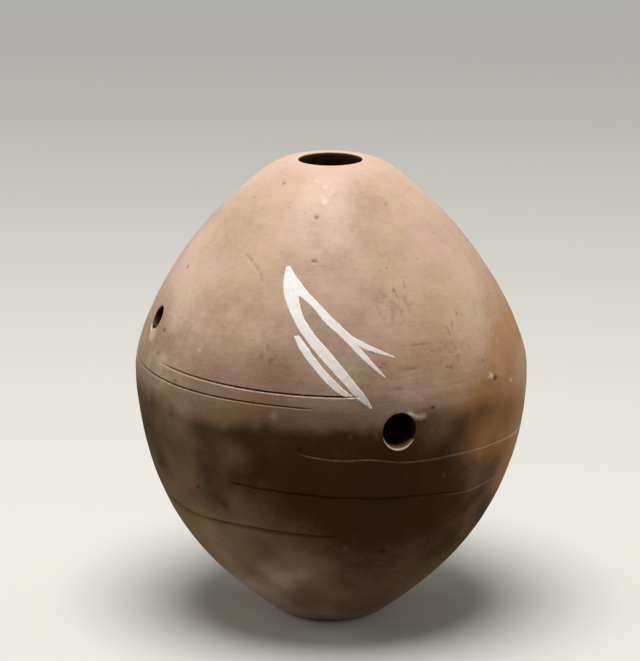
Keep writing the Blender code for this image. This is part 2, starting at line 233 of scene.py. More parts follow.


# Incised lines: knots of angle and height, flank widths over and under the root, depth, tapers at both
# ends in degrees, and at angles along it how much exposed clay and painted highlight shows under it and
# how much dirt and painted shade over it
INCISED_LINES = {
    "neck": {
        "knots": [
            (-25.4, 0.0509), (-21.7, 0.0502), (-18.5, 0.0498), (-15.5, 0.0495), (-11.0, 0.0493),
            (-7.5, 0.0494), (-0.1, 0.0488), (4.5, 0.0481), (12.6, 0.0477), (23.3, 0.0477),
            (34.0, 0.0474), (45.3, 0.0470), (54.0, 0.0465), (62.0, 0.0463), (70.0, 0.0463),
        ],
        "flanks": (0.00022, 0.00048), "depth": 0.00018, "tapers": (3.0, 6.0),
        "bare_and_highlight": [(-25.0, 0.33), (-12.0, 0.36), (0.0, 0.27), (20.0, 0.33), (34.0, 0.52), (55.0, 0.66)],
        "dirt_and_shade": [(-10.0, 0.10), (4.0, 0.40), (14.0, 0.10)],
    },
    "waist": {
        "knots": [
            (-48.8, 0.0416), (-45.2, 0.0415), (-41.0, 0.0413), (-37.0, 0.0410), (-33.1, 0.0409),
            (-29.2, 0.0406), (-25.4, 0.0405), (-21.7, 0.0403), (-14.3, 0.0397), (-9.4, 0.0396),
            (-0.8, 0.0391), (8.9, 0.0388), (19.8, 0.0382), (27.6, 0.0373), (33.0, 0.0370),
            (39.7, 0.0372), (44.8, 0.0373), (50.5, 0.0380),
        ],
        "flanks": (0.00034, 0.00032), "depth": 0.00032, "tapers": (4.0, 6.0),
        "bare_and_highlight": [(20.0, 0.0), (28.0, 0.26), (40.0, 0.52), (50.0, 0.52)],
        "dirt_and_shade": [(-48.0, 0.70), (-15.0, 0.65), (0.0, 0.35), (14.0, 0.35), (24.0, 0.6), (32.0, 0.1)],
    },
    "hip": {
        "knots": [
            (-99.0, 0.0311), (-88.0, 0.0308), (-79.9, 0.0306), (-70.9, 0.0299), (-60.2, 0.0298),
            (-48.8, 0.0300), (-43.3, 0.0301), (-30.7, 0.0297), (-19.4, 0.0292), (-12.0, 0.0289),
        ],
        "flanks": (0.00058, 0.00046), "depth": 0.00056, "tapers": (18.0, 7.0),
        "bare_and_highlight": [(-60.0, 0.0), (-42.0, 0.08), (-24.0, 0.12)],
        "dirt_and_shade": [(-90.0, 0.95), (-64.0, 0.95), (-40.0, 0.80), (-12.0, 0.80)],
    },
}

# The seam shows as a cut line only where it was gone over with the tool: from, to, and tapers in degrees;
# like the incised lines it has painted highlight under it and dirt with painted shade over it
SEAM_LINES = {
    "upper": {
        "span": (-77.0, -7.0), "flanks": (0.00020, 0.00036), "depth": 0.00038, "tapers": (9.0, 3.5),
        "bare_and_highlight": [(-77.0, 0.22), (-60.0, 0.36), (-42.0, 0.70), (-5.0, 0.72)],
        "dirt_and_shade": [(-77.0, 0.55), (-58.0, 0.65), (-40.0, 1.0)],
    },
    "lower": {
        "span": (-118.0, -20.0), "flanks": (0.00019, 0.00030), "depth": 0.00034, "tapers": (22.0, 6.0),
        "bare_and_highlight": [(-118.0, 0.10), (-66.0, 0.16), (-50.0, 0.30), (-24.0, 0.24)],
        "dirt_and_shade": [(-118.0, 0.6), (-80.0, 0.95), (-42.0, 0.85), (-26.0, 0.55)],
    },
}

# Pits: angle, height, radius, depth
PITS = [
    (-57.7, 0.1044, 0.00045, 0.00022), (-24.0, 0.0989, 0.00050, 0.00030), (-23.4, 0.0907, 0.00042, 0.00026),
    (-22.2, 0.0907, 0.00040, 0.00026), (-86.8, 0.0848, 0.00050, 0.00022), (14.3, 0.0596, 0.00048, 0.00036),
    (3.0, 0.0244, 0.00100, 0.00040), (-80.5, 0.0716, 0.00055, 0.00034), (-79.6, 0.0668, 0.00042, 0.00030),
    (21.1, 0.1006, 0.00040, 0.00012), (-61.1, 0.0383, 0.00060, 0.00022), (-51.6, 0.0349, 0.00050, 0.00018),
    (-50.2, 0.0348, 0.00050, 0.00018), (-22.5, 0.0313, 0.00045, 0.00022), (40.4, 0.0624, 0.00075, 0.00042),
    (22.4, 0.0675, 0.00040, 0.00016), (31.0, 0.0780, 0.00040, 0.00016), (-24.6, 0.0513, 0.00060, 0.00018),
    (118.0, 0.0760, 0.00060, 0.00026), (152.0, 0.0930, 0.00050, 0.00024), (-142.0, 0.0690, 0.00055, 0.00026),
    (-165.0, 0.0380, 0.00065, 0.00028), (101.0, 0.0440, 0.00060, 0.00024), (-120.0, 0.0990, 0.00050, 0.00022),
]

# Grains of clay and small smears on the surface: angle, height, radius, rise, and how pale they are.
# Several pale ones are painted highlights: those near the top of the crown, under the side hole and at the
# right
GRAINS = [
    (38.0, 0.0631, 0.00100, 0.00042, 0.62), (49.0, 0.0602, 0.00085, 0.00032, 0.50),
    (26.6, 0.0702, 0.00060, 0.00014, 0.18), (-59.8, 0.0704, 0.00050, 0.00012, 0.62),
    (-32.0, 0.0588, 0.00120, 0.00014, 0.34), (-88.6, 0.0706, 0.00120, 0.00030, 0.80),
    (-88.0, 0.0692, 0.00210, 0.00048, 1.00), (-3.0, 0.0549, 0.00060, 0.00014, 0.15),
    (-2.8, 0.0540, 0.00050, 0.00012, 0.12), (13.9, 0.0543, 0.00050, 0.00014, 0.20),
    (-10.4, 0.0547, 0.00060, 0.00012, 0.16), (20.0, 0.0429, 0.00060, 0.00012, 0.11),
    (-10.8, 0.0263, 0.00080, 0.00012, 0.10), (-25.0, 0.0247, 0.00080, 0.00012, 0.14),
    (-28.9, 0.1055, 0.00070, 0.00020, 0.45), (-20.3, 0.1043, 0.00100, 0.00026, 0.66),
    (-14.1, 0.1034, 0.00070, 0.00020, 0.45), (-20.2, 0.1016, 0.00130, 0.00028, 0.75),
    (-17.0, 0.1029, 0.00050, 0.00014, 0.30), (-81.8, 0.0555, 0.00060, 0.00014, 0.35),
    (134.0, 0.0600, 0.00080, 0.00022, 0.20),
]

# Scratches: angle and height at both ends, width, depth
SCRATCHES = [
    (-55.5, 0.0910, -49.8, 0.0894, 0.00050, 0.00016), (-49.8, 0.0894, -45.2, 0.0880, 0.00050, 0.00018),
    (-45.2, 0.0880, -42.8, 0.0859, 0.00045, 0.00016), (12.8, 0.0864, 12.9, 0.0844, 0.00035, 0.00012),
    (7.9, 0.0856, 8.8, 0.0826, 0.00040, 0.00010), (27.7, 0.0768, 26.7, 0.0744, 0.00045, 0.00020),
    (24.8, 0.0760, 25.0, 0.0738, 0.00045, 0.00018), (-38.5, 0.0622, -38.1, 0.0610, 0.00034, 0.00014),
    (-3.0, 0.0652, 10.0, 0.0642, 0.00030, 0.00010), (3.0, 0.0690, 14.0, 0.0683, 0.00030, 0.00010),
    (9.0, 0.0735, 19.0, 0.0731, 0.00028, 0.00008), (21.0, 0.0640, 35.0, 0.0642, 0.00030, 0.00008),
    (-98.0, 0.0800, -93.0, 0.0775, 0.00040, 0.00014), (160.0, 0.0850, 171.0, 0.0838, 0.00040, 0.00014),
]

# Rough patches, where dragged grit left a dotted skin: angle, height, half width, half height, strength
ROUGH_PATCHES = [
    (-36.2, 0.0718, 0.0042, 0.0075, 0.24), (-28.0, 0.0668, 0.0060, 0.0050, 0.16),
    (7.5, 0.0815, 0.0062, 0.0068, 0.20), (24.0, 0.0706, 0.0060, 0.0060, 0.14),
    (-6.0, 0.0700, 0.0100, 0.0040, 0.10), (158.0, 0.0760, 0.0070, 0.0060, 0.16),
]

# Broad swells and hollows of the hand-built wall: angle, height, radius and rise
SWELLS = [
    (74.0, 0.0500, 0.0175, 0.00058), (74.0, 0.0220, 0.0150, 0.00032), (74.0, 0.0960, 0.0150, -0.00036),
    (-106.0, 0.0420, 0.0085, -0.00036), (-106.0, 0.0960, 0.0110, -0.00014), (170.0, 0.0620, 0.0200, 0.00025),
]

# Border between the pale and the fire-blackened clay, partly a painted edge of the shade under the belt:
# angle and height all the way round
SMOKE_AND_SHADE_BORDER = [
    (-180.0, 0.0575), (-150.0, 0.0590), (-120.0, 0.0580), (-95.0, 0.0578), (-74.7, 0.0569), (-62.3, 0.0558),
    (-49.0, 0.0555), (-33.1, 0.0568), (-16.1, 0.0563), (-1.9, 0.0564), (10.0, 0.0578), (16.7, 0.0582),
    (32.1, 0.0578), (53.7, 0.0560), (75.0, 0.0556), (100.0, 0.0568), (125.0, 0.0590), (150.0, 0.0570),
    (180.0, 0.0575),
]

# Blackening and painted shade by height, over the border and under it. The crown darkening from its top
# down to the belt is partly painted shade, and the bowl lightening towards the foot partly painted light
PALE_LEVELS = [
    (0.0000, 0.40), (0.0560, 0.36), (0.0640, 0.33), (0.0680, 0.33), (0.0720, 0.30), (0.0760, 0.265),
    (0.0840, 0.235), (0.0890, 0.200), (0.0940, 0.180), (0.0990, 0.140), (0.1040, 0.118), (0.1080, 0.125),
]
DARK_LEVELS = [
    (0.0000, 0.26), (0.0050, 0.30), (0.0095, 0.42), (0.0165, 0.60), (0.0240, 0.75), (0.0310, 0.85),
    (0.0380, 0.91), (0.0460, 0.90), (0.0520, 0.84), (0.0580, 0.74), (0.0700, 0.74),
]

# Fire clouds: angle, height, radius, and how much each changes blackening and shade, ember, and olive and
# light. Many are set to the brightness at their place, so they also paint shade and light; the paler, more
# olive clouds low on the bowl at the left paint light thrown up from below
FIRE_CLOUDS = [
    (-72.0, 0.0500, 0.0120, -0.10, 0.00, 0.30), (-78.0, 0.0330, 0.0190, -0.28, 0.00, 0.75),
    (-84.0, 0.0435, 0.0050, 0.14, 0.00, 0.10), (-65.0, 0.0528, 0.0060, -0.20, 0.00, 0.00),
    (-52.0, 0.0260, 0.0140, -0.28, 0.05, 0.20), (-28.0, 0.0175, 0.0065, -0.27, 0.04, 0.20),
    (60.0, 0.0500, 0.0150, -0.38, 0.95, 0.00), (66.0, 0.0380, 0.0120, -0.16, 0.60, 0.10),
    (36.0, 0.0505, 0.0080, -0.13, 0.50, 0.00), (-46.0, 0.0498, 0.0045, -0.22, 0.05, 0.10),
    (34.0, 0.0545, 0.0080, -0.08, 0.60, 0.00), (46.0, 0.0620, 0.0090, 0.11, 0.66, 0.00),
    (20.0, 0.0560, 0.0050, -0.06, 0.10, 0.45), (-38.0, 0.0590, 0.0080, 0.03, 0.14, 0.00),
    (-22.0, 0.0580, 0.0060, 0.04, 0.10, 0.00), (-14.0, 0.0710, 0.0080, -0.06, 0.00, 0.00),
    (24.0, 0.0680, 0.0110, -0.03, 0.30, 0.00), (-86.0, 0.0740, 0.0120, 0.00, 0.00, 0.30),
    (48.0, 0.0160, 0.0120, 0.04, 0.15, 0.10), (15.0, 0.0515, 0.0055, -0.12, 0.12, 0.15),
    (110.0, 0.0450, 0.0180, -0.22, 0.45, 0.10), (165.0, 0.0330, 0.0200, -0.24, 0.05, 0.40),
    (-130.0, 0.0420, 0.0180, -0.08, 0.25, 0.15), (140.0, 0.0680, 0.0120, 0.08, 0.25, 0.00),
    (-120.0, 0.0900, 0.0160, 0.05, 0.00, 0.10), (-160.0, 0.0640, 0.0130, 0.08, 0.20, 0.10),
    (76.0, 0.0680, 0.0140, 0.03, 0.60, 0.10), (76.0, 0.0460, 0.0100, -0.10, 0.40, 0.10),
    (68.0, 0.0320, 0.0120, -0.06, 0.50, 0.00), (-84.0, 0.0705, 0.0085, 0.02, 0.00, 0.30),
    (-52.0, 0.0090, 0.0080, -0.26, 0.00, 0.45), (-48.0, 0.0250, 0.0060, -0.06, 0.00, 0.15),
    (-42.6, 0.0582, 0.0045, 0.02, 0.10, 0.00), (-53.8, 0.0527, 0.0050, 0.00, 0.15, 0.00),
    (-36.0, 0.0640, 0.0075, 0.07, 0.00, 0.00), (-64.0, 0.0640, 0.0130, 0.03, 0.00, 0.10),
    (-58.0, 0.0730, 0.0080, -0.03, 0.00, 0.10), (14.0, 0.0722, 0.0100, -0.05, 0.10, 0.00),
    (50.0, 0.0640, 0.0140, 0.02, 0.45, 0.00), (40.0, 0.0850, 0.0140, -0.05, 0.00, 0.00),
    (68.0, 0.0790, 0.0160, 0.02, 0.26, 0.00), (30.0, 0.0785, 0.0090, 0.02, 0.12, 0.00),
    (54.0, 0.0430, 0.0110, -0.14, 0.20, 0.00), (34.0, 0.0415, 0.0080, -0.17, 0.15, 0.00),
    (56.0, 0.0350, 0.0100, -0.10, 0.15, 0.00), (-44.0, 0.0400, 0.0085, -0.09, 0.06, 0.05),
    (-30.0, 0.0310, 0.0070, -0.10, 0.10, 0.05), (-60.0, 0.0380, 0.0080, -0.06, 0.05, 0.05),
    (-84.0, 0.0840, 0.0110, -0.09, 0.00, 0.10), (-64.0, 0.0370, 0.0080, -0.08, 0.10, 0.10),
    (-72.0, 0.0060, 0.0105, -0.24, 0.00, 0.55), (0.0, 0.0110, 0.0070, 0.05, 0.00, 0.15),
    (-20.0, 0.0000, 0.0080, -0.18, 0.00, 0.50), (-30.0, 0.0495, 0.0050, -0.08, 0.10, 0.00),
    (-14.0, 0.0500, 0.0045, -0.06, 0.10, 0.00), (-46.0, 0.0540, 0.0040, 0.07, 0.00, 0.10),
    (33.0, 0.0578, 0.0045, 0.12, 0.30, 0.00), (56.0, 0.0650, 0.0075, 0.06, 0.35, 0.00),
    (32.0, 0.0990, 0.0100, 0.05, 0.00, 0.00), (-64.0, 0.1010, 0.0090, 0.05, 0.00, 0.00),
    (5.0, 0.1042, 0.0050, 0.10, 0.00, 0.00), (34.0, 0.0740, 0.0070, -0.05, 0.10, 0.00),
    (-50.0, 0.0900, 0.0070, -0.06, 0.00, 0.00), (-31.0, 0.0715, 0.0065, 0.08, 0.00, 0.00),
    (-3.0, 0.0630, 0.0070, 0.06, 0.00, 0.00), (36.0, 0.0815, 0.0075, -0.08, 0.00, 0.00),
    (50.0, 0.0845, 0.0070, -0.06, 0.00, 0.00), (-84.0, 0.0950, 0.0100, 0.02, 0.00, 0.12),
    (56.0, 0.0940, 0.0110, 0.01, 0.00, 0.14), (-44.0, 0.0120, 0.0045, -0.11, 0.00, 0.08),
    (-26.0, 0.0190, 0.0045, -0.12, 0.00, 0.15), (-79.0, 0.0414, 0.0036, 0.13, 0.00, 0.00),
]

# White strokes: the node that each one replaces, both edges as angle and height from one end to the other,
# the fork, the share of the slip's full thickness, points across, and where the slip thins out along it
STROKES = {
    "long_slip_blade": {
        "node": "long_slip_stroke",
        "left": [
            (-34.2, 0.0894), (-34.3, 0.0874), (-33.3, 0.0846), (-30.8, 0.0817), (-27.5, 0.0785),
            (-22.5, 0.0744), (-16.8, 0.0701), (-12.5, 0.0668), (-7.9, 0.0630), (-4.4, 0.0608),
        ],
        "right": [
            (-32.7, 0.0896), (-30.3, 0.0870), (-27.9, 0.0840), (-25.9, 0.0808), (-22.0, 0.0771),
            (-17.2, 0.0737), (-13.1, 0.0704), (-8.5, 0.0662), (-6.0, 0.0637), (-4.0, 0.0609),
        ],
        "fork": None,
        "body": 0.75,
        "cells": 34,
        "wear": (0.60, 1.00),
    },
    "short_slip_blade": {
        "node": "short_slip_stroke",
        "left": [
            (-27.7, 0.0760), (-25.9, 0.0739), (-23.0, 0.0713), (-19.9, 0.0688), (-16.9, 0.0665),
            (-13.4, 0.0643), (-9.8, 0.0631),
        ],
        "right": [
            (-26.2, 0.0762), (-23.9, 0.0745), (-21.6, 0.0725), (-19.1, 0.0704), (-15.7, 0.0678),
            (-12.1, 0.0652), (-9.0, 0.0634),
        ],
        "fork": None,
        "body": 0.70,
        "cells": 30,
        "wear": (0.60, 1.00),
    },
    "forked_slip_blade": {
        "node": "forked_slip_stroke",
        "left": [
            (-33.5, 0.0885), (-31.9, 0.0851), (-26.3, 0.0836), (-21.9, 0.0817), (-17.8, 0.0789),
            (-12.1, 0.0757), (-7.7, 0.0725), (-3.4, 0.0695), (1.6, 0.0663),
        ],
        "right": [
            (-32.6, 0.0894), (-29.4, 0.0876), (-24.6, 0.0849), (-19.8, 0.0824), (-14.4, 0.0793),
            (-8.5, 0.0759), (-4.0, 0.0742), (0.2, 0.0727), (5.7, 0.0709),
        ],
        "fork": {"start": 0.710, "across": 0.52, "opening": 1.5, "tip": 0.12},
        "body": 0.70,
        "cells": 62,
        "wear": (0.72, 1.00),
    },
}

# Points on each curve of the outline, on its turn into the lip, and on the evenly spaced outline
CURVE_POINTS = 800
TURN_POINTS = 120
OUTLINE_POINTS = 2400

# Lumps of the hand-made surface: the size in the panel, the share of it, spacing of the noise, and its seed
LUMPS = (
    ("broad_lump", 1.0, 0.0150, 11), ("broad_lump", 0.6, 0.0080, 12),
    ("small_lump", 1.0, 0.0034, 13), ("grain_lump", 1.0, 0.0011, 14),
)

# Other noise, each layer with its strength, spacing and seed
ROUGH_DOTS = ((0.7, 0.0012, 51), (0.5, 0.0007, 52))
BORDER_WANDER = ((0.0012, 0.0090, 21), (0.0008, 0.0028, 22))
SLIP_RAG = ((1.0, 0.0009, 41), (0.6, 0.00035, 42))
SLIP_SPOTS = ((0.6, 0.0007, 43), (0.4, 0.0003, 44))

# Depth of the dots in a rough patch
ROUGH_DEPTH = 0.00006
# Size of a pit and of a grain as a share of its radius, and how steep a pit's wall is
SPOT_SHARE = 0.75
PIT_STEEPNESS = 1.5
# Heights over which the relief fades out at the mouth and at the foot, and what is left of it at the mouth
RIM_FADE = 0.0030
FOOT_FADE = 0.0020
RIM_RELIEF = 0.15

# Cut lines: how sharp their shoulders are, and the share of the depth of the lip pushed up under them
CUT_SHOULDER = 1.15
CUT_LIP = 0.12
# Degrees from an incised line's middle at which its row of the mesh is level again
LEVEL_AGAIN = 165.0

# Ridge of clay at the upper right of the front hole, from the hole's middle: its height, how far it dips,
# from where and over what width, the middle of its length, half its length, its thickness and its soft end
RIDGE_HEIGHT = 0.00345
RIDGE_DIP, RIDGE_DIP_FROM, RIDGE_DIP_OVER = 0.0010, 0.0020, 0.0024
RIDGE_MIDDLE, RIDGE_HALF, RIDGE_THICKNESS, RIDGE_END = 0.0041, 0.0017, 0.00056, 0.0006
# How far under the ridge its painted shadow runs, and how much higher than the burr the ridge is
RIDGE_SHADE = 0.00105
RIDGE_OVER_BURR = 2.2
# Distance of the burr's crest from the hole's edge, and its width
BURR_CREST, BURR_WIDTH = 0.0004, 0.0006

# Middle of the side that is seen closely, and where the columns widen beside it and behind, in degrees
CLOSE_MIDDLE = -14.0
FLANK_FROM, FLANK_OVER = 56.0, 6.0
BACK_FROM, BACK_OVER = 98.0, 12.0

# Gap between clay members that touch, and between the bowl and the slab
CLAY_GAP = 0.00002
SLAB_GAP = 0.00015
# Shoulder of the seam's groove: depth under the surface, and share of the seam's width from its middle
SHOULDER_DEPTH, SHOULDER_SHARE = 0.0014, 0.36
# Clay round the side and the front hole that the rings of each hole take up
SIDE_MARGIN = 0.0021
FRONT_MARGIN = 0.0018
# How far the crown's chamber rows stay under the mouth's bore, and the bowl's rows under the join
CHAMBER_ROOM = 0.0006
JOIN_ROOM = 0.0002
# One in this many rows of the outside is used again in the chamber
CHAMBER_THINNING = 14
# Height and spacing of the finger marks in the chamber
FINGER_MARK = 0.00022
FINGER_SPACING = 0.0075

# Rings from the block's edge to the hole, round its edge, through the wall, and back to the inner block
APPROACH_RINGS, EDGE_RINGS, BORE_RINGS, RETURN_RINGS = 8, 8, 10, 5

# Points along a stroke, how far its grid goes past both edges, and its round corners as a share of its width
STROKE_POINTS = 260
STROKE_MARGIN = 0.12
STROKE_CORNER = 0.38
# How deep the slip's skin lies in the clay where no slip is, and how thick it is there
SLIP_SUNK = 0.00006
SLIP_SKIN = 0.00010


def smooth_step(value):
    """0 below 0, 1 above 1, and a soft S between them."""
    t = np.clip(value, 0.0, 1.0)
    return t * t * (3.0 - 2.0 * t)


def band(value, low, low_soft, high, high_soft):
    """1 between two levels and 0 outside, by a soft step inwards from each of them."""
    return smooth_step((value - low) / low_soft) * smooth_step((high - value) / high_soft)


def around_axis(radius, turned, height):
    """Points at a radius, a turn round the axis in radians, and a height."""
    return np.stack([radius * np.sin(turned), -radius * np.cos(turned), height], axis=-1)


def degrees_between(angle, middle):
    """Signed turn from a middle to an angle, brought into half a turn either way."""
    return (angle - middle + 180.0) % 360.0 - 180.0


def lattice_values(corner, seed):
    """A steady value from 0 to 1 for each lattice corner: its whole coordinates multiplied and folded."""
    mask = np.int64(0xFFFFFFFF)
    mixed = (corner[..., 0] * 73856093) ^ (corner[..., 1] * 19349663) ^ (corner[..., 2] * 83492791)
    mixed = (mixed ^ (seed * 40503)) & mask
    mixed = ((mixed ^ (mixed >> 15)) * 668265263) & mask
    mixed = ((mixed ^ (mixed >> 13)) * 374761393) & mask
    return ((mixed ^ (mixed >> 16)) & 0xFFFF) / 65535.0


def clay_noise(points, size, seed):
    """Smooth noise from -1 to 1: values at the corners of cubes of one size, blended by soft steps."""
    scaled = points / size
    cell = np.floor(scaled).astype(np.int64)
    blend = smooth_step(scaled - cell)
    total = np.zeros(points.shape[:-1])
    for corner in itertools.product((0, 1), repeat=3):
        near = np.where(np.array(corner) == 1, blend, 1.0 - blend)
        total += near.prod(axis=-1) * lattice_values(cell + np.array(corner), seed)
    return 2.0 * total - 1.0


def layered_noise(points, layers):
    """Noise of several spacings added up, each layer as strength, spacing and seed."""
    return sum(strength * clay_noise(points, spacing, seed) for strength, spacing, seed in layers)


def smooth_path(knots, at):
    """Cubic path through knots: each slope is taken from the neighbours, and the ends run on level."""
    places, values = np.array(knots, float).T
    slopes = np.gradient(values, places)
    where = np.clip(at, places[0], places[-1])
    index = np.clip(np.searchsorted(places, where, side="right") - 1, 0, len(places) - 2)
    gap = places[index + 1] - places[index]
    t = (where - places[index]) / gap
    start = (1 + 2 * t) * (1 - t) ** 2 * values[index] + t * (1 - t) ** 2 * gap * slopes[index]
    end = t ** 2 * (3 - 2 * t) * values[index + 1] + t ** 2 * (t - 1) * gap * slopes[index + 1]
    return start + end


def bezier(points, count):
    """Points of a quadratic or cubic curve: its handles weighted by the binomial of their order."""
    order = len(points) - 1
    t = np.linspace(0.0, 1.0, count)[:, None]
    weights = [math.comb(order, i) * t ** i * (1 - t) ** (order - i) for i in range(order + 1)]
    return sum(weight * np.array(point) for weight, point in zip(weights, points))


def vessel_outline(form):
    """The outline as radius and height: foot to belt, belt to rim, and a soft turn into the lip's crest.

    The bowl and the crown are one cubic each. The turn is a quadratic whose corner is the place
    where the crown's slope would reach the top height.
    """
    foot = (form.foot_radius, 0.0)
    belt = (form.belt_radius, form.belt_height)
    rim = (form.mouth_radius + form.rim_width, form.top_height - form.rim_rise)
    out_of_foot = (foot[0] + form.foot_handle_out, foot[1] + form.foot_handle_up)
    into_belt = (belt[0], belt[1] - form.belt_handle_down)
    out_of_belt = (belt[0], belt[1] + form.belt_handle_up)
    into_rim = (rim[0] + form.mouth_handle_out, rim[1] - form.mouth_handle_down)
    bowl = bezier([foot, out_of_foot, into_belt, belt], CURVE_POINTS)
    crown = bezier([belt, out_of_belt, into_rim, rim], CURVE_POINTS)
    crown = crown[crown[:, 1] < form.top_height - form.rim_blend]
    slope = crown[-1] - crown[-2]
    corner = crown[-1] + slope * (form.top_height - crown[-1][1]) / slope[1]
    crest = (form.mouth_radius + form.lip_round, form.top_height)
    turn_in = bezier([crown[-1], corner, crest], TURN_POINTS)
    return np.vstack([bowl, crown[1:], turn_in[1:]])


class Vessel:
    """The form and relief that all clay pieces share, addressed by angle and by run along the outline."""

    def __init__(self, scene):
        self.form = scene.flute_form
        self.seam = scene.flute_seam
        self.holes = scene.flute_holes
        self.surface = scene.flute_surface
        outline = vessel_outline(self.form)
        steps = np.linalg.norm(np.diff(outline, axis=0), axis=1)
        run = np.concatenate([[0.0], np.cumsum(steps)])
        self.run = np.linspace(0.0, run[-1], OUTLINE_POINTS)
        self.radius = np.interp(self.run, run, outline[:, 0])
        self.height = np.interp(self.run, run, outline[:, 1])
        along = np.gradient(np.column_stack([self.radius, self.height]), axis=0)
        along /= np.linalg.norm(along, axis=1)[:, None]
        self.out = along[:, 1]
        self.up = -along[:, 0]

    def run_at(self, height):
        """Run along the outline at a height."""
        return np.interp(height, self.height, self.run)

    def radius_at(self, height):
        """Outer radius at a height, before any relief."""
        return np.interp(height, self.height, self.radius)

    def inner_radius_at(self, height):
        """Radius of the chamber at a height: the outline set back by the wall along its normals."""
        wall = self.form.wall
        return np.interp(height, self.height - wall * self.up, self.radius - wall * self.out)

    def place(self, angle, run, lift=0.0):
        """Points on the outline turned to an angle and raised by lift along the normal."""
        angle, run, lift = np.broadcast_arrays(np.radians(angle), run, lift)
        radius = np.interp(run, self.run, self.radius) + lift * np.interp(run, self.run, self.out)
        height = np.interp(run, self.run, self.height) + lift * np.interp(run, self.run, self.up)
        return around_axis(radius, angle, height)

    def seam_height(self, angle, offset):
        """Height of the leaning seam: its middle, an offset, and a tilt that follows a cosine.

        An offset under the middle shrinks where the coil is pinched.
        """
        seam = self.seam
        tilt = np.cos(np.radians(angle - seam.low_angle))
        beside = np.abs(degrees_between(angle, seam.pinch_angle))
        pinched = seam.pinch * smooth_step(1.0 - beside / seam.pinch_reach) * max(-offset, 0.0)
        return seam.height + offset + pinched - seam.lean * tilt

    def line_height(self, name, angle):
        """Height of an incised line: its knots where it runs, fading back to level behind."""
        knots = INCISED_LINES[name]["knots"]
        level = knots[len(knots) // 2][1]
        middle = (knots[0][0] + knots[-1][0]) / 2
        half = (knots[-1][0] - knots[0][0]) / 2
        turned = degrees_between(angle, middle)
        fade = 1.0 - smooth_step((np.abs(turned) - half) / (LEVEL_AGAIN - half))
        return level + fade * (smooth_path(knots, middle + turned) - level)

    def groove(self, angle, height, path, span, line):
        """Depth, exposed clay with painted highlight, and dirt with painted shade of a cut line.

        The cut is an unequal V: steep above its root, flatter below, with softened shoulders. Its
        depth rises and falls at both ends by soft steps. The under side is unevenly pale with exposed clay
        and painted highlight, the upper side dark with dirt and painted shade.
        """
        over, under = line["flanks"]
        middle = (span[0] + span[1]) / 2
        turned = middle + degrees_between(angle, middle)
        taper_in, taper_out = line["tapers"]
        strength = band(turned, span[0], taper_in, span[1], taper_out)
        gap = height - path
        flank = np.where(gap > 0, gap / over, -gap / under)
        cut = smooth_step(CUT_SHOULDER * (1.0 - flank)) * strength
        lip = np.exp(-((gap + 1.25 * under) / (0.45 * under)) ** 2) * strength
        below = band(gap, -1.3 * under, 0.6 * under, -0.20 * under, 0.2 * under)
        above = band(gap, -0.3 * under, 0.2 * under, 1.45 * over, 0.5 * over)
        depth = line["depth"] * (cut - CUT_LIP * lip)
        uneven = 0.82 + 0.18 * np.sin(0.36 * turned) * np.sin(0.83 * turned + 2.0)
        bare_and_highlight = smooth_path(line["bare_and_highlight"], turned) * uneven * below * strength
        dirt_and_shade = smooth_path(line["dirt_and_shade"], turned) * above * strength
        return depth, bare_and_highlight, dirt_and_shade

    def grooves(self, angle, height):
        """Depth, exposed clay with painted highlight, and dirt with painted shade of all cut lines together.
        """
        depth = np.zeros(np.broadcast(angle, height).shape)
        bare_and_highlight = np.zeros_like(depth)
        dirt_and_shade = np.zeros_like(depth)
        cuts = []
        for name, line in INCISED_LINES.items():
            span = (line["knots"][0][0], line["knots"][-1][0])
            cuts.append(self.groove(angle, height, self.line_height(name, angle), span, line))
        for name, side in (("upper", 0.5), ("lower", -0.5)):
            line = SEAM_LINES[name]
            path = self.seam_height(angle, side * self.seam.width)
            cuts.append(self.groove(angle, height, path, line["span"], line))
        for cut, light, dark in cuts:
            depth += cut
            bare_and_highlight = np.maximum(bare_and_highlight, light)
            dirt_and_shade = np.maximum(dirt_and_shade, dark)
        return depth, bare_and_highlight, dirt_and_shade

    def offsets(self, angle, run, at_angle, at_height):
        """Distances across and up the surface from a place on it."""
        radius = np.interp(run, self.run, self.radius)
        across = radius * np.radians(degrees_between(angle, at_angle))
        return across, run - self.run_at(at_height)

    def spot(self, angle, run, at_angle, at_height, radius, steepness=1.0):
        """Closeness to a place: a bell of the distance over a radius, flatter on top where it is steeper."""
        across, up = self.offsets(angle, run, at_angle, at_height)
        return np.exp(-(((across ** 2 + up ** 2) / radius ** 2) ** steepness))

    def scratch(self, angle, run, start, end, width):
        """Closeness to a straight scratch: a bell of the distance to its segment, thinner at both ends."""
        across, up = self.offsets(angle, run, *start)
        far = np.array(self.offsets(end[0], self.run_at(end[1]), *start))
        t = np.clip((across * far[0] + up * far[1]) / (far @ far), 0.0, 1.0)
        thin = 1.0 - (2.0 * t - 1.0) ** 4
        return np.exp(-((across - t * far[0]) ** 2 + (up - t * far[1]) ** 2) / (width / 2) ** 2) * thin

    def roughness(self, angle, run, base):
        """Dots of the rough patches: two sizes of noise cut off at a level, inside soft ellipses."""
        dots = smooth_step((layered_noise(base, ROUGH_DOTS) - 0.05) / 0.35)
        patches = np.zeros(dots.shape)
        for at_angle, at_height, half_width, half_height, strength in ROUGH_PATCHES:
            across, up = self.offsets(angle, run, at_angle, at_height)
            inside = smooth_step(1.8 * (1.0 - np.hypot(across / half_width, up / half_height)))
            patches = np.maximum(patches, strength * inside)
        return dots * patches

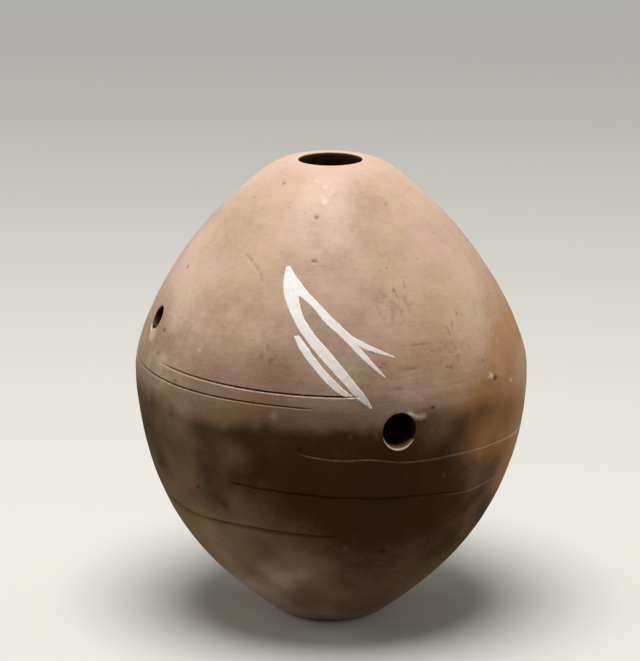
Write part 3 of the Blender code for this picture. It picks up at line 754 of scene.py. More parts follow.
    def hole_ridge(self, angle, run, drop=0.0):
        """Closeness to the ridge of clay that runs out of the front hole at its upper right, or under it."""
        across, up = self.offsets(angle, run, self.holes.front_angle, self.holes.front_height)
        dip = RIDGE_DIP * smooth_step((across - RIDGE_DIP_FROM) / RIDGE_DIP_OVER)
        path = RIDGE_HEIGHT - drop - dip
        beyond = np.maximum(np.abs(across - RIDGE_MIDDLE) - RIDGE_HALF, 0.0)
        return np.exp(-(((up - path) / RIDGE_THICKNESS) ** 2) - (beyond / RIDGE_END) ** 2)

    def hole_burr(self, angle, run):
        """Clay pushed up round the front hole: a ring, fuller below, and the ridge."""
        across, up = self.offsets(angle, run, self.holes.front_angle, self.holes.front_height)
        distance = np.hypot(across, up)
        edge = self.holes.front_radius + self.holes.edge_round
        ring = np.exp(-((distance - edge - BURR_CREST) / BURR_WIDTH) ** 2)
        around = np.arctan2(up, across)
        fullness = 0.55 + 0.45 * np.cos(around + 1.9) + 0.25 * np.sin(3.0 * around + 0.6)
        return self.holes.burr * (ring * fullness + RIDGE_OVER_BURR * self.hole_ridge(angle, run))

    def relief(self, angle, run):
        """Height of the real surface over the smooth form.

        Four sizes of noise and the swells make the lumps. Cut lines, pits and scratches are taken off,
        grains and the burr are added. It all fades at the rim of the mouth and towards the foot.
        """
        angle, run = np.broadcast_arrays(angle, run)
        base = self.place(angle, run)
        height = base[..., 2]
        layers = [(part * getattr(self.surface, size), spacing, seed) for size, part, spacing, seed in LUMPS]
        lumps = layered_noise(base, layers)
        for at_angle, at_height, radius, rise in SWELLS:
            lumps += rise * self.spot(angle, run, at_angle, at_height, radius)
        lumps -= ROUGH_DEPTH * self.roughness(angle, run, base)
        lifted = lumps - self.grooves(angle, height)[0] + self.hole_burr(angle, run)
        for at_angle, at_height, radius, depth in PITS:
            lifted -= depth * self.spot(angle, run, at_angle, at_height, SPOT_SHARE * radius, PIT_STEEPNESS)
        for at_angle, at_height, radius, rise, _ in GRAINS:
            lifted += rise * self.spot(angle, run, at_angle, at_height, SPOT_SHARE * radius)
        for angle_a, height_a, angle_b, height_b, width, depth in SCRATCHES:
            lifted -= depth * self.scratch(angle, run, (angle_a, height_a), (angle_b, height_b), width)
        rim_fade = smooth_step((self.run[-1] - run) / RIM_FADE)
        foot_fade = smooth_step((height - self.form.foot_round) / FOOT_FADE)
        return lifted * (RIM_RELIEF + (1.0 - RIM_RELIEF) * rim_fade) * foot_fade

    def skin(self, angle, run, lift=0.0):
        """Points on the real surface, raised by lift."""
        return self.place(angle, run, self.relief(angle, run) + lift)

    def tones(self, angle, run):
        """Tones of the surface, each from 0 to 1: blackening with painted shade, ember, olive with painted
        light, exposed clay with painted highlight, and dirt with painted shade.

        The blackening follows one path of levels over the border and another one under it, with a step at
        each edge of the seam; part of its darkening towards the belt and its lightening towards the foot is
        painted shade and light. Noise makes the border wander, and fire clouds add to or take from each tone.
        """
        angle, run = np.broadcast_arrays(angle, run)
        base = self.place(angle, run)
        height = base[..., 2]
        border = smooth_path(SMOKE_AND_SHADE_BORDER, degrees_between(angle, 0.0)) + layered_noise(base, BORDER_WANDER)
        over_seam = self.seam_height(angle, 0.5 * self.seam.width)
        under_seam = self.seam_height(angle, -0.5 * self.seam.width)
        softness = 0.0048 + 0.0040 * smooth_step(1.0 - np.abs(degrees_between(angle, 68.0)) / 50.0)
        under = smooth_step((border - height) / softness + 0.5)
        smoke_and_shade = (1.0 - under) * smooth_path(PALE_LEVELS, height) + under * smooth_path(DARK_LEVELS, height)
        smoke_and_shade = smoke_and_shade + 0.05 * smooth_step((over_seam - height) / 0.0012)
        smoke_and_shade = smoke_and_shade + 0.05 * smooth_step((under_seam - height) / 0.0014)
        smoke_and_shade = smoke_and_shade + 0.05 * clay_noise(base, 0.0120, 23) + 0.04 * clay_noise(base, 0.0050, 24)
        ember = 0.06 + 0.06 * clay_noise(base, 0.0140, 25)
        ash_and_light = 0.06 + 0.08 * clay_noise(base, 0.0110, 26)
        wobble = 1.0 + 0.25 * clay_noise(base, 0.0060, 27)
        for at_angle, at_height, radius, more_smoke_and_shade, more_ember, more_ash_and_light in FIRE_CLOUDS:
            cloud = self.spot(angle, run, at_angle, at_height, radius * wobble)
            smoke_and_shade = smoke_and_shade + more_smoke_and_shade * cloud
            ember = ember + more_ember * cloud
            ash_and_light = ash_and_light + more_ash_and_light * cloud
        # Cut lines: painted highlight under them, dirt and painted shade over them. Pits, rough dots and
        # a painted shadow runs under the ridge.
        # scratches: dirt and painted shade in their hollows. Several grains and the ridge: painted highlight;
        _, bare_and_highlight, dirt_and_shade = self.grooves(angle, height)
        for at_angle, at_height, radius, _ in PITS:
            dirt_and_shade = np.maximum(dirt_and_shade, 0.7 * self.spot(angle, run, at_angle, at_height, 0.8 * radius))
        for at_angle, at_height, radius, _, pale in GRAINS:
            bare_and_highlight = np.maximum(bare_and_highlight, pale * self.spot(angle, run, at_angle, at_height, SPOT_SHARE * radius))
        bare_and_highlight = np.maximum(bare_and_highlight, 0.66 * self.hole_ridge(angle, run))
        dirt_and_shade = np.maximum(dirt_and_shade, 0.45 * self.hole_ridge(angle, run, RIDGE_SHADE))
        dirt_and_shade = np.maximum(dirt_and_shade, self.roughness(angle, run, base))
        for angle_a, height_a, angle_b, height_b, width, _ in SCRATCHES:
            near = self.scratch(angle, run, (angle_a, height_a), (angle_b, height_b), width)
            dirt_and_shade = np.maximum(dirt_and_shade, 0.34 * near)
        found = {"smoke_and_shade": smoke_and_shade, "ember": ember, "ash_and_light": ash_and_light, "bare_and_highlight": bare_and_highlight, "dirt_and_shade": dirt_and_shade}
        return {name: np.clip(tone, 0.0, 1.0) for name, tone in found.items()}

    def columns(self):
        """Angles of the mesh columns: close on the player's side and wide behind, with a soft change."""
        sizes = self.surface
        fine = np.linspace(-180.0, 180.0, 3601)
        away = np.abs(fine - CLOSE_MIDDLE)
        flank = smooth_step((away - FLANK_FROM) / FLANK_OVER)
        back = smooth_step((away - BACK_FROM) / BACK_OVER)
        step = sizes.front_step + (sizes.flank_step - sizes.front_step) * flank
        step = step + (sizes.back_step - sizes.flank_step) * back
        density = 1.0 / step
        total = np.concatenate([[0.0], np.cumsum((density[1:] + density[:-1]) / 2 * np.diff(fine))])
        count = int(round(total[-1]))
        return np.interp(np.linspace(0.0, total[-1], count + 1)[:-1], total, fine)


TONES = ("smoke_and_shade", "ember", "ash_and_light", "bare_and_highlight", "dirt_and_shade")
# Tones of the chamber: fully dark, which is painted shade inside the closed vessel
CHAMBER_TONES = {"smoke_and_shade": 1.0, "ember": 0.10, "ash_and_light": 0.05, "bare_and_highlight": 0.0, "dirt_and_shade": 0.75}
# Distances of the close rows from a cut line, and how far to each side rows take its whole shift
LINE_ROWS = np.array([0.0, 0.00007, 0.00014, 0.00022, 0.00032, 0.00046, 0.00066, 0.00092])
HOLD = 0.0016
# Arc under the front and the side hole that is painted as lit: its middle and half width in degrees, and
# the painted shade inside the bore under it. The arc gets a painted highlight on its rounding and painted
# light on the bore wall just inside.
FRONT_LIT_ARC = (-98.0, 67.0, 0.30)
SIDE_LIT_ARC = (-100.0, 40.0, 0.85)


def listed_tones(tones):
    """Named tones as a list in the order of the mesh's attributes."""
    return [tones[name] for name in TONES]


def even_tones(tones, count):
    """The same tones at each of a number of points."""
    return [np.full(count, tone) for tone in listed_tones(tones)]


def spread_rows(low, high, step, lines):
    """Runs of the mesh rows: even ones, and closely spaced ones round each cut line, kept apart."""
    count = int(round((high - low) / step))
    even = np.linspace(low, high, count + 1)
    close = [line + side * LINE_ROWS for line in lines for side in (-1.0, 1.0)]
    close = np.unique(np.round(np.concatenate(close), 7)) if lines else np.array([])
    close = close[(close > low + 1e-6) & (close < high - 1e-6)]
    for line in lines:
        even = even[np.abs(even - line) > LINE_ROWS[-1] + 0.5 * step]
    return np.unique(np.concatenate([[low], even, close, [high]]))


def follow_lines(rows, guides, angles):
    """Rows shifted so that they run along the guides.

    A guide is a level run and the run that it really has at each column. A row near a guide takes
    its whole shift, and a row between two guides shares both shifts in proportion.
    """
    places = [rows[0]]
    shifts = [np.zeros(len(angles))]
    for level, real in guides:
        for side in (-HOLD, HOLD):
            place = min(max(level + side, rows[0]), rows[-1])
            places.append(place)
            shifts.append(real - level)
    places.append(rows[-1])
    shifts.append(np.zeros(len(angles)))
    starts_on_guide = places[1] <= rows[0]
    ends_on_guide = places[-2] >= rows[-1]
    first = 1 if starts_on_guide else 0
    last = len(places) - 1 if ends_on_guide else len(places)
    places = np.array(places[first:last])
    shifts = np.array(shifts[first:last])
    weights = np.stack([np.interp(rows, places, unit) for unit in np.eye(len(places))], axis=1)
    return rows[:, None] + weights @ shifts


class Wall:
    """A closed clay wall: rows of points round a closed outline, one column for each angle."""

    def __init__(self, vessel):
        self.vessel = vessel
        self.angles = vessel.columns()
        self.rows = []
        self.tones = []
        self.outer = self.inner = self.inner_row_of = None

    def add_skin(self, runs):
        """Rows on the real outer surface, from bottom to top."""
        self.outer = (len(self.rows), runs)
        points = self.vessel.skin(self.angles[None, :], runs)
        tones = self.vessel.tones(self.angles[None, :], runs)
        for index in range(len(runs)):
            self.rows.append(points[index])
            self.tones.append([tones[name][index] for name in TONES])

    def add_ring(self, radius, height, tones=CHAMBER_TONES):
        """One row at a radius and a height, which may change round the axis."""
        angle, radius, height = np.broadcast_arrays(np.radians(self.angles), radius, height)
        self.rows.append(around_axis(radius, angle, height))
        self.tones.append(even_tones(tones, len(angle)))

    def add_flank(self, corners, gap=0.0):
        """Rows on a flank of the seam, each at a depth under the surface and an offset from the seam."""
        for depth, offset in corners:
            height = self.vessel.seam_height(self.angles, offset)
            self.add_ring(self.vessel.radius_at(height) - depth - gap, height)

    def add_chamber(self, heights):
        """Rows on the chamber's wall, from top to bottom, pressed a little uneven by the fingers."""
        self.inner = (len(self.rows), heights)
        for height in heights:
            height = np.broadcast_to(height, self.angles.shape)
            radius = self.vessel.inner_radius_at(height)
            base = around_axis(radius, np.radians(self.angles), height)
            self.add_ring(radius + FINGER_MARK * clay_noise(base, FINGER_SPACING, 31), height)

    def mesh_parts(self):
        """Vertices, quads and tones of the closed grid, joined row to row and column to column."""
        count = len(self.angles)
        rows = len(self.rows)
        points = np.concatenate(self.rows)
        tones = np.concatenate([np.array(row).T for row in self.tones])
        row, column = np.meshgrid(np.arange(rows), np.arange(count), indexing="ij")
        after_row = (row + 1) % rows
        after_column = (column + 1) % count
        quads = np.stack(
            [
                row * count + column,
                row * count + after_column,
                after_row * count + after_column,
                after_row * count + column,
            ],
            axis=-1,
        )
        return points, quads, tones


def hole_block(wall, angle, height, reach_across, low, high):
    """Rows and columns of the grid cells round a finger hole, as first and last indices."""
    vessel = wall.vessel
    turn_by = np.degrees(reach_across / vessel.radius_at(height))
    offsets = degrees_between(wall.angles, angle)
    inside = np.where(np.abs(offsets) < turn_by)[0]
    middle = int(np.argmin(np.abs(offsets)))
    runs = wall.outer[1]
    heights = np.interp(runs[:, middle], vessel.run, vessel.height)
    rows = np.where((heights > low) & (heights < high))[0]
    return int(rows[0]), int(rows[-1]), int(inside[0]), int(inside[-1])


def ring_order(rows, columns):
    """Row and column of each vertex round a block: right along the bottom, up, back along the top, down."""
    bottom = [(rows[0], column) for column in columns[:-1]]
    right = [(row, columns[-1]) for row in rows[:-1]]
    top = [(rows[-1], column) for column in columns[:0:-1]]
    left = [(row, columns[0]) for row in rows[:0:-1]]
    return np.array(bottom + right + top + left)


def open_hole(wall, angle, height, radius, block, rubbed_and_lit):
    """Open a level round hole through the wall.

    The cells of a block are left out of the outer and the inner grid. Rings of equal count lead from
    the outer block's edge to a circle, round a quarter turn into the bore, through the wall, and out
    to the inner block's edge. On the outer rings, places are measured across and up from the middle.
    The rounding follows the squared sine of the turn round the hole: slight at the sides, fuller
    over the hole, fullest under it. The arc tuple gives the middle and half width of the arc that gets a
    painted highlight on its rounding and painted light on the bore wall under it, and the painted shade
    inside it; the rest of the rounding and the bore are painted dark as shade.
    """
    vessel = wall.vessel
    points, quads, tones = wall.mesh_parts()
    count = len(wall.angles)
    first_row, last_row, first_column, last_column = block
    order = ring_order(range(first_row, last_row + 1), range(first_column, last_column + 1))

    outer_start, runs = wall.outer
    inner_start = wall.inner[0]
    inner_of = wall.inner_row_of
    outer_ids = (outer_start + order[:, 0]) * count + order[:, 1]
    inner_ids = np.array([inner_start + inner_of[row] for row in order[:, 0]]) * count + order[:, 1]

    turns = np.radians(degrees_between(wall.angles[order[:, 1]], angle))
    outer_height = np.interp(runs[order[:, 0], order[:, 1]], vessel.run, vessel.height)
    outer_across = vessel.radius_at(outer_height) * np.sin(turns)
    outer_up = outer_height - height
    around = np.arctan2(outer_up, outer_across)
    fuller = 0.3 + 0.5 * np.sin(around) ** 2 + 0.8 * np.maximum(-np.sin(around), 0.0) ** 2
    edge = vessel.holes.edge_round * fuller
    arc = degrees_between(np.degrees(around), rubbed_and_lit[0])
    wear_and_highlight = smooth_step((rubbed_and_lit[1] - np.abs(arc)) / 14.0)

    def on_skin(across, up, depth):
        """Points and tones at places across and up from the hole's middle, at a depth in the clay."""
        at_height = height + up
        at_angle = angle + np.degrees(np.arcsin(across / vessel.radius_at(at_height)))
        run = vessel.run_at(at_height)
        return vessel.skin(at_angle, run, -depth), vessel.tones(at_angle, run)

    new_rings = []
    new_tones = []
    mouth = radius + edge
    for t in np.linspace(0.0, 1.0, APPROACH_RINGS)[1:]:
        across = (1 - t) * outer_across + t * mouth * np.cos(around)
        up = (1 - t) * outer_up + t * mouth * np.sin(around)
        ring, tone = on_skin(across, up, 0.0)
        new_rings.append(ring)
        new_tones.append(listed_tones(tone))
    for bend in np.linspace(0.0, 90.0, EDGE_RINGS)[1:]:
        reach = mouth - edge * math.sin(math.radians(bend))
        depth = edge * (1.0 - math.cos(math.radians(bend)))
        ring, tone = on_skin(reach * np.cos(around), reach * np.sin(around), depth)
        new_rings.append(ring)
        # Inside the arc: painted highlight on the rounding, and painted light with painted shade on the bore
        # wall under it. Outside the arc the inner part of the rounding is painted dark as shade.
        lit = wear_and_highlight * smooth_step((bend + 4.0) / 14.0) * smooth_step((44.0 - bend) / 16.0)
        tone["bare_and_highlight"] = np.maximum(tone["bare_and_highlight"] * (1.0 - smooth_step((bend - 30.0) / 20.0)), lit)
        tone["dirt_and_shade"] = np.maximum(tone["dirt_and_shade"], 0.9 * (1.0 - wear_and_highlight) * smooth_step((bend - 25.0) / 45.0))
        bore_light_and_shade = wear_and_highlight * smooth_step((bend - 32.0) / 20.0)
        tone["smoke_and_shade"] = tone["smoke_and_shade"] * (1.0 - 0.75 * lit)
        tone["smoke_and_shade"] = (1.0 - bore_light_and_shade) * tone["smoke_and_shade"] + 0.62 * bore_light_and_shade
        tone["ash_and_light"] = (1.0 - bore_light_and_shade) * tone["ash_and_light"] + 0.80 * bore_light_and_shade
        tone["dirt_and_shade"] = np.maximum(tone["dirt_and_shade"], bore_light_and_shade * (rubbed_and_lit[2] - 0.25 * np.cos(around)))
        new_tones.append(listed_tones(tone))

    def in_chamber(across, up):
        """Points on the chamber's wall at places across and up from the hole's middle."""
        inner_radius = vessel.inner_radius_at(height + up)
        return around_axis(inner_radius, np.radians(angle) + np.arcsin(across / inner_radius), height + up)

    across = radius * np.cos(around)
    up = radius * np.sin(around)
    inner_ring = in_chamber(across, up)
    lip_ring = new_rings[-1]
    for t in np.linspace(0.0, 1.0, BORE_RINGS)[1:]:
        new_rings.append((1 - t) * lip_ring + t * inner_ring)
        # Bore: painted shade that deepens inwards, lighter and more olive just under the arc as painted light
        ledge = wear_and_highlight * (1 - t) ** 2
        bore = {
            "smoke_and_shade": 1.0 - 0.30 * ledge,
            "ember": 0.15,
            "ash_and_light": 0.7 * ledge,
            "bare_and_highlight": 0.0,
            "dirt_and_shade": (0.55 + 0.40 * t) * (1.0 - 0.7 * ledge),
        }
        new_tones.append(even_tones(bore, len(order)))
    inner_edge = points[inner_ids]
    facing = math.radians(angle)
    edge_across = inner_edge[:, 0] * math.cos(facing) + inner_edge[:, 1] * math.sin(facing)
    edge_up = inner_edge[:, 2] - height
    for t in np.linspace(0.0, 1.0, RETURN_RINGS)[1:-1]:
        new_rings.append(in_chamber((1 - t) * across + t * edge_across, (1 - t) * up + t * edge_up))
        new_tones.append(even_tones(CHAMBER_TONES, len(order)))

    added = len(points) + np.arange(len(new_rings) * len(order)).reshape(len(new_rings), len(order))
    ids = [outer_ids, *added, inner_ids]
    patch = []
    for near, far in zip(ids, ids[1:]):
        patch.append(np.stack([near, np.roll(near, -1), np.roll(far, -1), far], axis=-1))
    keep = np.ones(quads.shape[:2], bool)
    keep[outer_start + first_row : outer_start + last_row, first_column:last_column] = False
    low = min(inner_of[first_row], inner_of[last_row])
    high = max(inner_of[first_row], inner_of[last_row])
    keep[inner_start + low : inner_start + high, first_column:last_column] = False
    points = np.concatenate([points] + new_rings)
    tones = np.concatenate([tones] + [np.array(tone).T for tone in new_tones])
    return points, np.concatenate([quads[keep]] + patch), tones


def make_piece(name, points, faces, tones, material):
    """A mesh object at the origin from whole arrays, with smooth shading but for its sharp edges."""
    mesh = bpy.data.meshes.new(name)
    mesh.from_pydata(points.tolist(), [], faces if isinstance(faces, list) else faces.tolist())
    for index, tone in enumerate(TONES):
        layer = mesh.attributes.new(tone, "FLOAT", "POINT")
        layer.data.foreach_set("value", np.ascontiguousarray(tones[:, index], dtype=np.float32))
    mesh.materials.append(material)
    mesh.shade_smooth()
    mesh.set_sharp_from_angle(angle=math.radians(50.0))
    piece = bpy.data.objects.new(name, mesh)
    bpy.context.scene.collection.objects.link(piece)
    return piece


def crown_wall(vessel, material):
    """Upper wall: outside, lip, bore of the mouth, chamber wall and the upper flank of the seam."""
    form, seam, holes = vessel.form, vessel.seam, vessel.holes
    wall = Wall(vessel)
    angles = wall.angles
    level = float(vessel.run_at(seam.height + seam.width / 2))
    real = vessel.run_at(vessel.seam_height(angles, seam.width / 2))
    rows = spread_rows(level, vessel.run[-1], vessel.surface.row_step, [level])
    runs = follow_lines(rows, [(level, real)], angles)
    wall.add_skin(runs)
    middle = form.mouth_radius + form.lip_round
    # The lip of the mouth gets a painted highlight, and its bore painted shade that deepens into the chamber
    for bend in np.linspace(0.0, 90.0, 9)[1:]:
        dirt_and_shade = float(smooth_step((bend - 30.0) / 40.0))
        tones = dict(CHAMBER_TONES, smoke_and_shade=0.10 + 0.80 * dirt_and_shade, bare_and_highlight=0.50 * (1.0 - dirt_and_shade), dirt_and_shade=0.4 * dirt_and_shade)
        wall.add_ring(
            middle - form.lip_round * math.sin(math.radians(bend)),
            form.top_height - form.lip_round * (1 - math.cos(math.radians(bend))),
            tones,
        )
    chamber_top = form.top_height - form.wall + CHAMBER_ROOM
    for t in np.linspace(0.0, 1.0, 7)[1:]:
        height = (1 - t) * (form.top_height - form.lip_round) + t * chamber_top
        wall.add_ring(form.mouth_radius + 0.0010 * t ** 3, height, dict(CHAMBER_TONES, dirt_and_shade=0.40 + 0.50 * t))

    angle, height, radius = holes.side_angle, holes.side_height, holes.side_radius
    reach = radius + SIDE_MARGIN
    side_rows = block_rows(vessel, runs, angles, angle, height, reach)
    heights, wall.inner_row_of = chamber_rows(vessel, runs, side_rows, chamber_top - CHAMBER_ROOM)
    wall.add_chamber(heights)
    join = vessel.seam_height(angles, CLAY_GAP)
    wall.add_ring(vessel.inner_radius_at(join), join)
    shoulder = (SHOULDER_DEPTH, seam.width * SHOULDER_SHARE)
    wall.add_flank([(seam.depth, CLAY_GAP), (seam.depth, seam.root_width / 2), shoulder])
    block = hole_block(wall, angle, height, reach, height - reach, height + reach)
    points, faces, tones = open_hole(wall, angle, height, radius, block, SIDE_LIT_ARC)
    return make_piece("crown_wall", points, faces, tones, material)


def block_rows(vessel, runs, angles, angle, height, reach):
    """Rows of the outer grid that pass a finger hole within a reach of its middle."""
    middle = int(np.argmin(np.abs(degrees_between(angles, angle))))
    heights = np.interp(runs[:, middle], vessel.run, vessel.height)
    return np.where(np.abs(heights - height) < reach)[0]


def chamber_rows(vessel, runs, hole_rows, top):
    """Heights of the chamber rows from top to bottom, and which of them matches each outer row.

    Past the hole every row is used, so that both sides of the wall have equal rows there, and
    elsewhere only one in a number of rows. Rows over the chamber's top are left out.
    """
    heights = np.interp(runs, vessel.run, vessel.height)
    chosen = []
    for index in range(len(runs) - 1, -1, -1):
        passing = hole_rows[0] - 1 <= index <= hole_rows[-1] + 1
        if (passing or index % CHAMBER_THINNING == 0) and np.all(heights[index] < top):
            chosen.append(index)
    return [heights[index] for index in chosen], {index: place for place, index in enumerate(chosen)}


def bowl_wall(vessel, material):
    """Lower wall: outside with its incised lines, lower flank of the seam, chamber wall and bottom."""
    form, seam, holes = vessel.form, vessel.seam, vessel.holes
    wall = Wall(vessel)
    angles = wall.angles
    bottom = float(vessel.run_at(form.slab_top + SLAB_GAP))
    top = float(vessel.run_at(seam.height - seam.width / 2))
    guides = []
    for name in ("hip", "waist", "neck"):
        knots = INCISED_LINES[name]["knots"]
        level = float(vessel.run_at(knots[len(knots) // 2][1]))
        guides.append((level, vessel.run_at(vessel.line_height(name, angles))))
    guides.append((top, vessel.run_at(vessel.seam_height(angles, -seam.width / 2))))
    rows = spread_rows(bottom, top, vessel.surface.row_step * 1.2, [level for level, _ in guides])
    runs = follow_lines(rows, guides, angles)
    wall.add_skin(runs)
    shoulder = (SHOULDER_DEPTH, -seam.width * SHOULDER_SHARE)
    wall.add_flank([shoulder, (seam.depth, -seam.root_width / 2), (seam.depth, -CLAY_GAP)])
    join = vessel.seam_height(angles, -CLAY_GAP)
    wall.add_ring(vessel.inner_radius_at(join), join)
    angle, height, radius = holes.front_angle, holes.front_height, holes.front_radius
    reach = radius + FRONT_MARGIN
    hole_rows = block_rows(vessel, runs, angles, angle, height, reach)
    heights, wall.inner_row_of = chamber_rows(vessel, runs, hole_rows, join - JOIN_ROOM)
    wall.add_chamber(heights[:-1] if 0 in wall.inner_row_of else heights)
    floor = np.interp(bottom, vessel.run, vessel.height)
    wall.add_ring(vessel.inner_radius_at(floor), floor)
    high = float(vessel.seam_height(angle, -seam.width / 2)) - 0.00012
    block = hole_block(wall, angle, height, reach, height - reach, high)
    points, faces, tones = open_hole(wall, angle, height, radius, block, FRONT_LIT_ARC)
    return make_piece("bowl_wall", points, faces, tones, material)


def seam_coil(vessel, material):
    """Coil between bowl and crown: flush outside, tapering to its root."""
    seam = vessel.seam
    wall = Wall(vessel)
    angles = wall.angles
    low = float(vessel.run_at(seam.height - seam.width / 2))
    high = float(vessel.run_at(seam.height + seam.width / 2))
    lower_edge = vessel.run_at(vessel.seam_height(angles, -seam.width / 2))
    upper_edge = vessel.run_at(vessel.seam_height(angles, seam.width / 2))
    rows = spread_rows(low, high, 0.0003, [low, high])
    share_up = (rows[:, None] - low) / (high - low)
    wall.add_skin((1 - share_up) * lower_edge[None, :] + share_up * upper_edge[None, :])
    corners = [(SHOULDER_DEPTH, SHOULDER_SHARE * seam.width), (seam.depth, 0.5 * seam.root_width)]
    wall.add_flank(corners + [(depth, -offset) for depth, offset in reversed(corners)], CLAY_GAP)
    points, faces, tones = wall.mesh_parts()
    return make_piece("seam_coil", points, faces.reshape(-1, 4), tones, material)


def foot_slab(vessel, material):
    """Slab under the bowl: flat underneath, its edge rounded by wear, closed by a middle point on each side.
    """
    form = vessel.form
    wall = Wall(vessel)
    low = form.foot_radius - form.foot_round
    wear_and_highlight = dict(CHAMBER_TONES, smoke_and_shade=0.45, ember=0.1, ash_and_light=0.3, bare_and_highlight=0.18, dirt_and_shade=0.1)
    for t in np.linspace(0.0, 1.0, 7)[1:]:
        wall.add_ring(low * t, 0.0, wear_and_highlight)
    for bend in np.radians(np.linspace(0.0, 70.0, 6)[1:]):
        wall.add_ring(low + form.foot_round * math.sin(bend), form.foot_round * (1 - math.cos(bend)), wear_and_highlight)
    bottom = float(vessel.run_at(form.foot_round))
    top = float(vessel.run_at(form.slab_top + SLAB_GAP))
    rows = spread_rows(bottom, top, 0.00045, [])
    wall.add_skin(np.repeat(rows[:, None], len(wall.angles), axis=1))
    height = float(np.interp(top, vessel.run, vessel.height))
    radius = float(np.interp(top, vessel.run, vessel.radius))
    for t in (0.75, 0.5, 0.25):
        wall.add_ring(radius * t, height - CLAY_GAP)
    points, quads, tones = wall.mesh_parts()
    count = len(wall.angles)
    faces = quads[:-1].reshape(-1, 4).tolist()
    around = np.arange(count)
    after = (around + 1) % count
    under, over = len(points), len(points) + 1
    faces += np.stack([np.full(count, under), after, around], axis=-1).tolist()
    last = len(points) - count
    faces += np.stack([last + around, last + after, np.full(count, over)], axis=-1).tolist()
    points = np.concatenate([points, [[0.0, 0.0, 0.0], [0.0, 0.0, height - CLAY_GAP]]])
    tones = np.concatenate([tones, tones[:1], tones[-1:]])
    return make_piece("foot_slab", points, faces, tones, material)


def slip_blade(vessel, slip, name, stroke, material):
    """A brushed stroke of slip.

    The two edges are cubic paths at even shares of their length, and straight cross lines between
    them carry the grid. The slip's height over the clay follows the distance to the nearest edge or
    end, with rounded corners and a slightly ragged edge. It dips under the clay outside and in the
    fork, and is thinner where wear has taken slip off. Ember grows along the stroke, where the slip
    turns rosy.
    """
    count = STROKE_POINTS
    across_count = stroke["cells"]
    along = np.linspace(0.0, 1.0, count)
    edges = []
    for side in ("left", "right"):
        knots = np.array(stroke[side])
        flat = np.column_stack([np.radians(knots[:, 0]) * vessel.form.belt_radius, knots[:, 1]])
        gaps = np.linalg.norm(np.diff(flat, axis=0), axis=1)
        at = np.concatenate([[0.0], np.cumsum(gaps)]) / gaps.sum()
        angle = smooth_path(np.column_stack([at, knots[:, 0]]), along)
        height = smooth_path(np.column_stack([at, knots[:, 1]]), along)
        edges.append((angle, height))
    (left_angle, left_height), (right_angle, right_height) = edges
    part = np.linspace(-STROKE_MARGIN, 1.0 + STROKE_MARGIN, across_count)[None, :]
    angle = left_angle[:, None] * (1 - part) + right_angle[:, None] * part
    height = left_height[:, None] * (1 - part) + right_height[:, None] * part
    run = vessel.run_at(height)
    base = vessel.place(angle, run)
    middle_height = (left_height + right_height) / 2
    middle_radius = vessel.radius_at(middle_height)
    turn_across = np.radians(right_angle - left_angle) * middle_radius
    run_across = vessel.run_at(right_height) - vessel.run_at(left_height)
    run_along = np.gradient(vessel.run_at(middle_height))
    turn_along = np.radians(np.gradient((left_angle + right_angle) / 2)) * middle_radius
    cross = np.abs(turn_across * run_along - run_across * turn_along)
    step = np.hypot(run_along, turn_along)
    width = (cross / step)[:, None]
    passed = np.cumsum(step)
    inside = np.minimum(part, 1.0 - part)
    if stroke["fork"]:
        fork = stroke["fork"]
        opened = np.clip((along - fork["start"]) / (1.0 - fork["start"]), 0.0, 1.0)[:, None]
        left = (1.0 - fork["tip"]) * (1.0 - opened) ** fork["opening"] + fork["tip"] * (1.0 - opened) ** 0.4
        left_end = fork["across"] * left
        right_end = 1.0 - (1.0 - fork["across"]) * left
        left_branch = np.minimum(part, left_end - part)
        right_branch = np.minimum(part - right_end, 1.0 - part)
        inside = np.where(opened > 0.0, np.maximum(left_branch, right_branch), inside)
    to_edge = inside * width
    to_end = np.minimum(passed, passed[-1] - passed)[:, None]
    corner = STROKE_CORNER * width
    in_corner = (to_edge < corner) & (to_end < corner)
    rounded = corner - np.hypot(corner - to_edge, corner - to_end)
    distance = np.where(in_corner, rounded, np.minimum(to_edge, to_end))
    rag = slip.rag * layered_noise(base, SLIP_RAG)
    cover = smooth_step((distance + rag + slip.spread) / slip.edge)
    wear_from, wear_to = stroke["wear"]
    fading = smooth_step((along - wear_from) / (wear_to - wear_from))[:, None]
    spots = 0.5 + 0.5 * layered_noise(base, SLIP_SPOTS)
    wear_and_highlight = np.clip(smooth_step((1.4 * slip.wear * fading - spots) / 0.25) + slip.wear * fading, 0.0, 1.0)
    body = stroke["body"] + 0.25 * clay_noise(base, 0.0014, 45)
    lift = (slip.thickness * body + SLIP_SUNK) * cover * (1.0 - 0.4 * wear_and_highlight) - SLIP_SUNK
    top = vessel.skin(angle, run, lift)
    under = vessel.skin(angle, run, np.minimum(lift, 0.0) - SLIP_SKIN)
    points = np.concatenate([top.reshape(-1, 3), under.reshape(-1, 3)])
    tones = np.zeros((len(points), len(TONES)))
    tones[: top[..., 0].size, TONES.index("bare_and_highlight")] = (wear_and_highlight * cover).ravel()
    tones[:, TONES.index("smoke_and_shade")] = np.tile(vessel.tones(angle, run)["smoke_and_shade"].ravel(), 2)
    rosy = 0.9 * smooth_step((along - slip.rosy_from) / slip.rosy_over)
    tones[: top[..., 0].size, TONES.index("ember")] = np.repeat(rosy, across_count)
    return make_piece(name, points, closed_sheet_faces(count, across_count), tones, material)


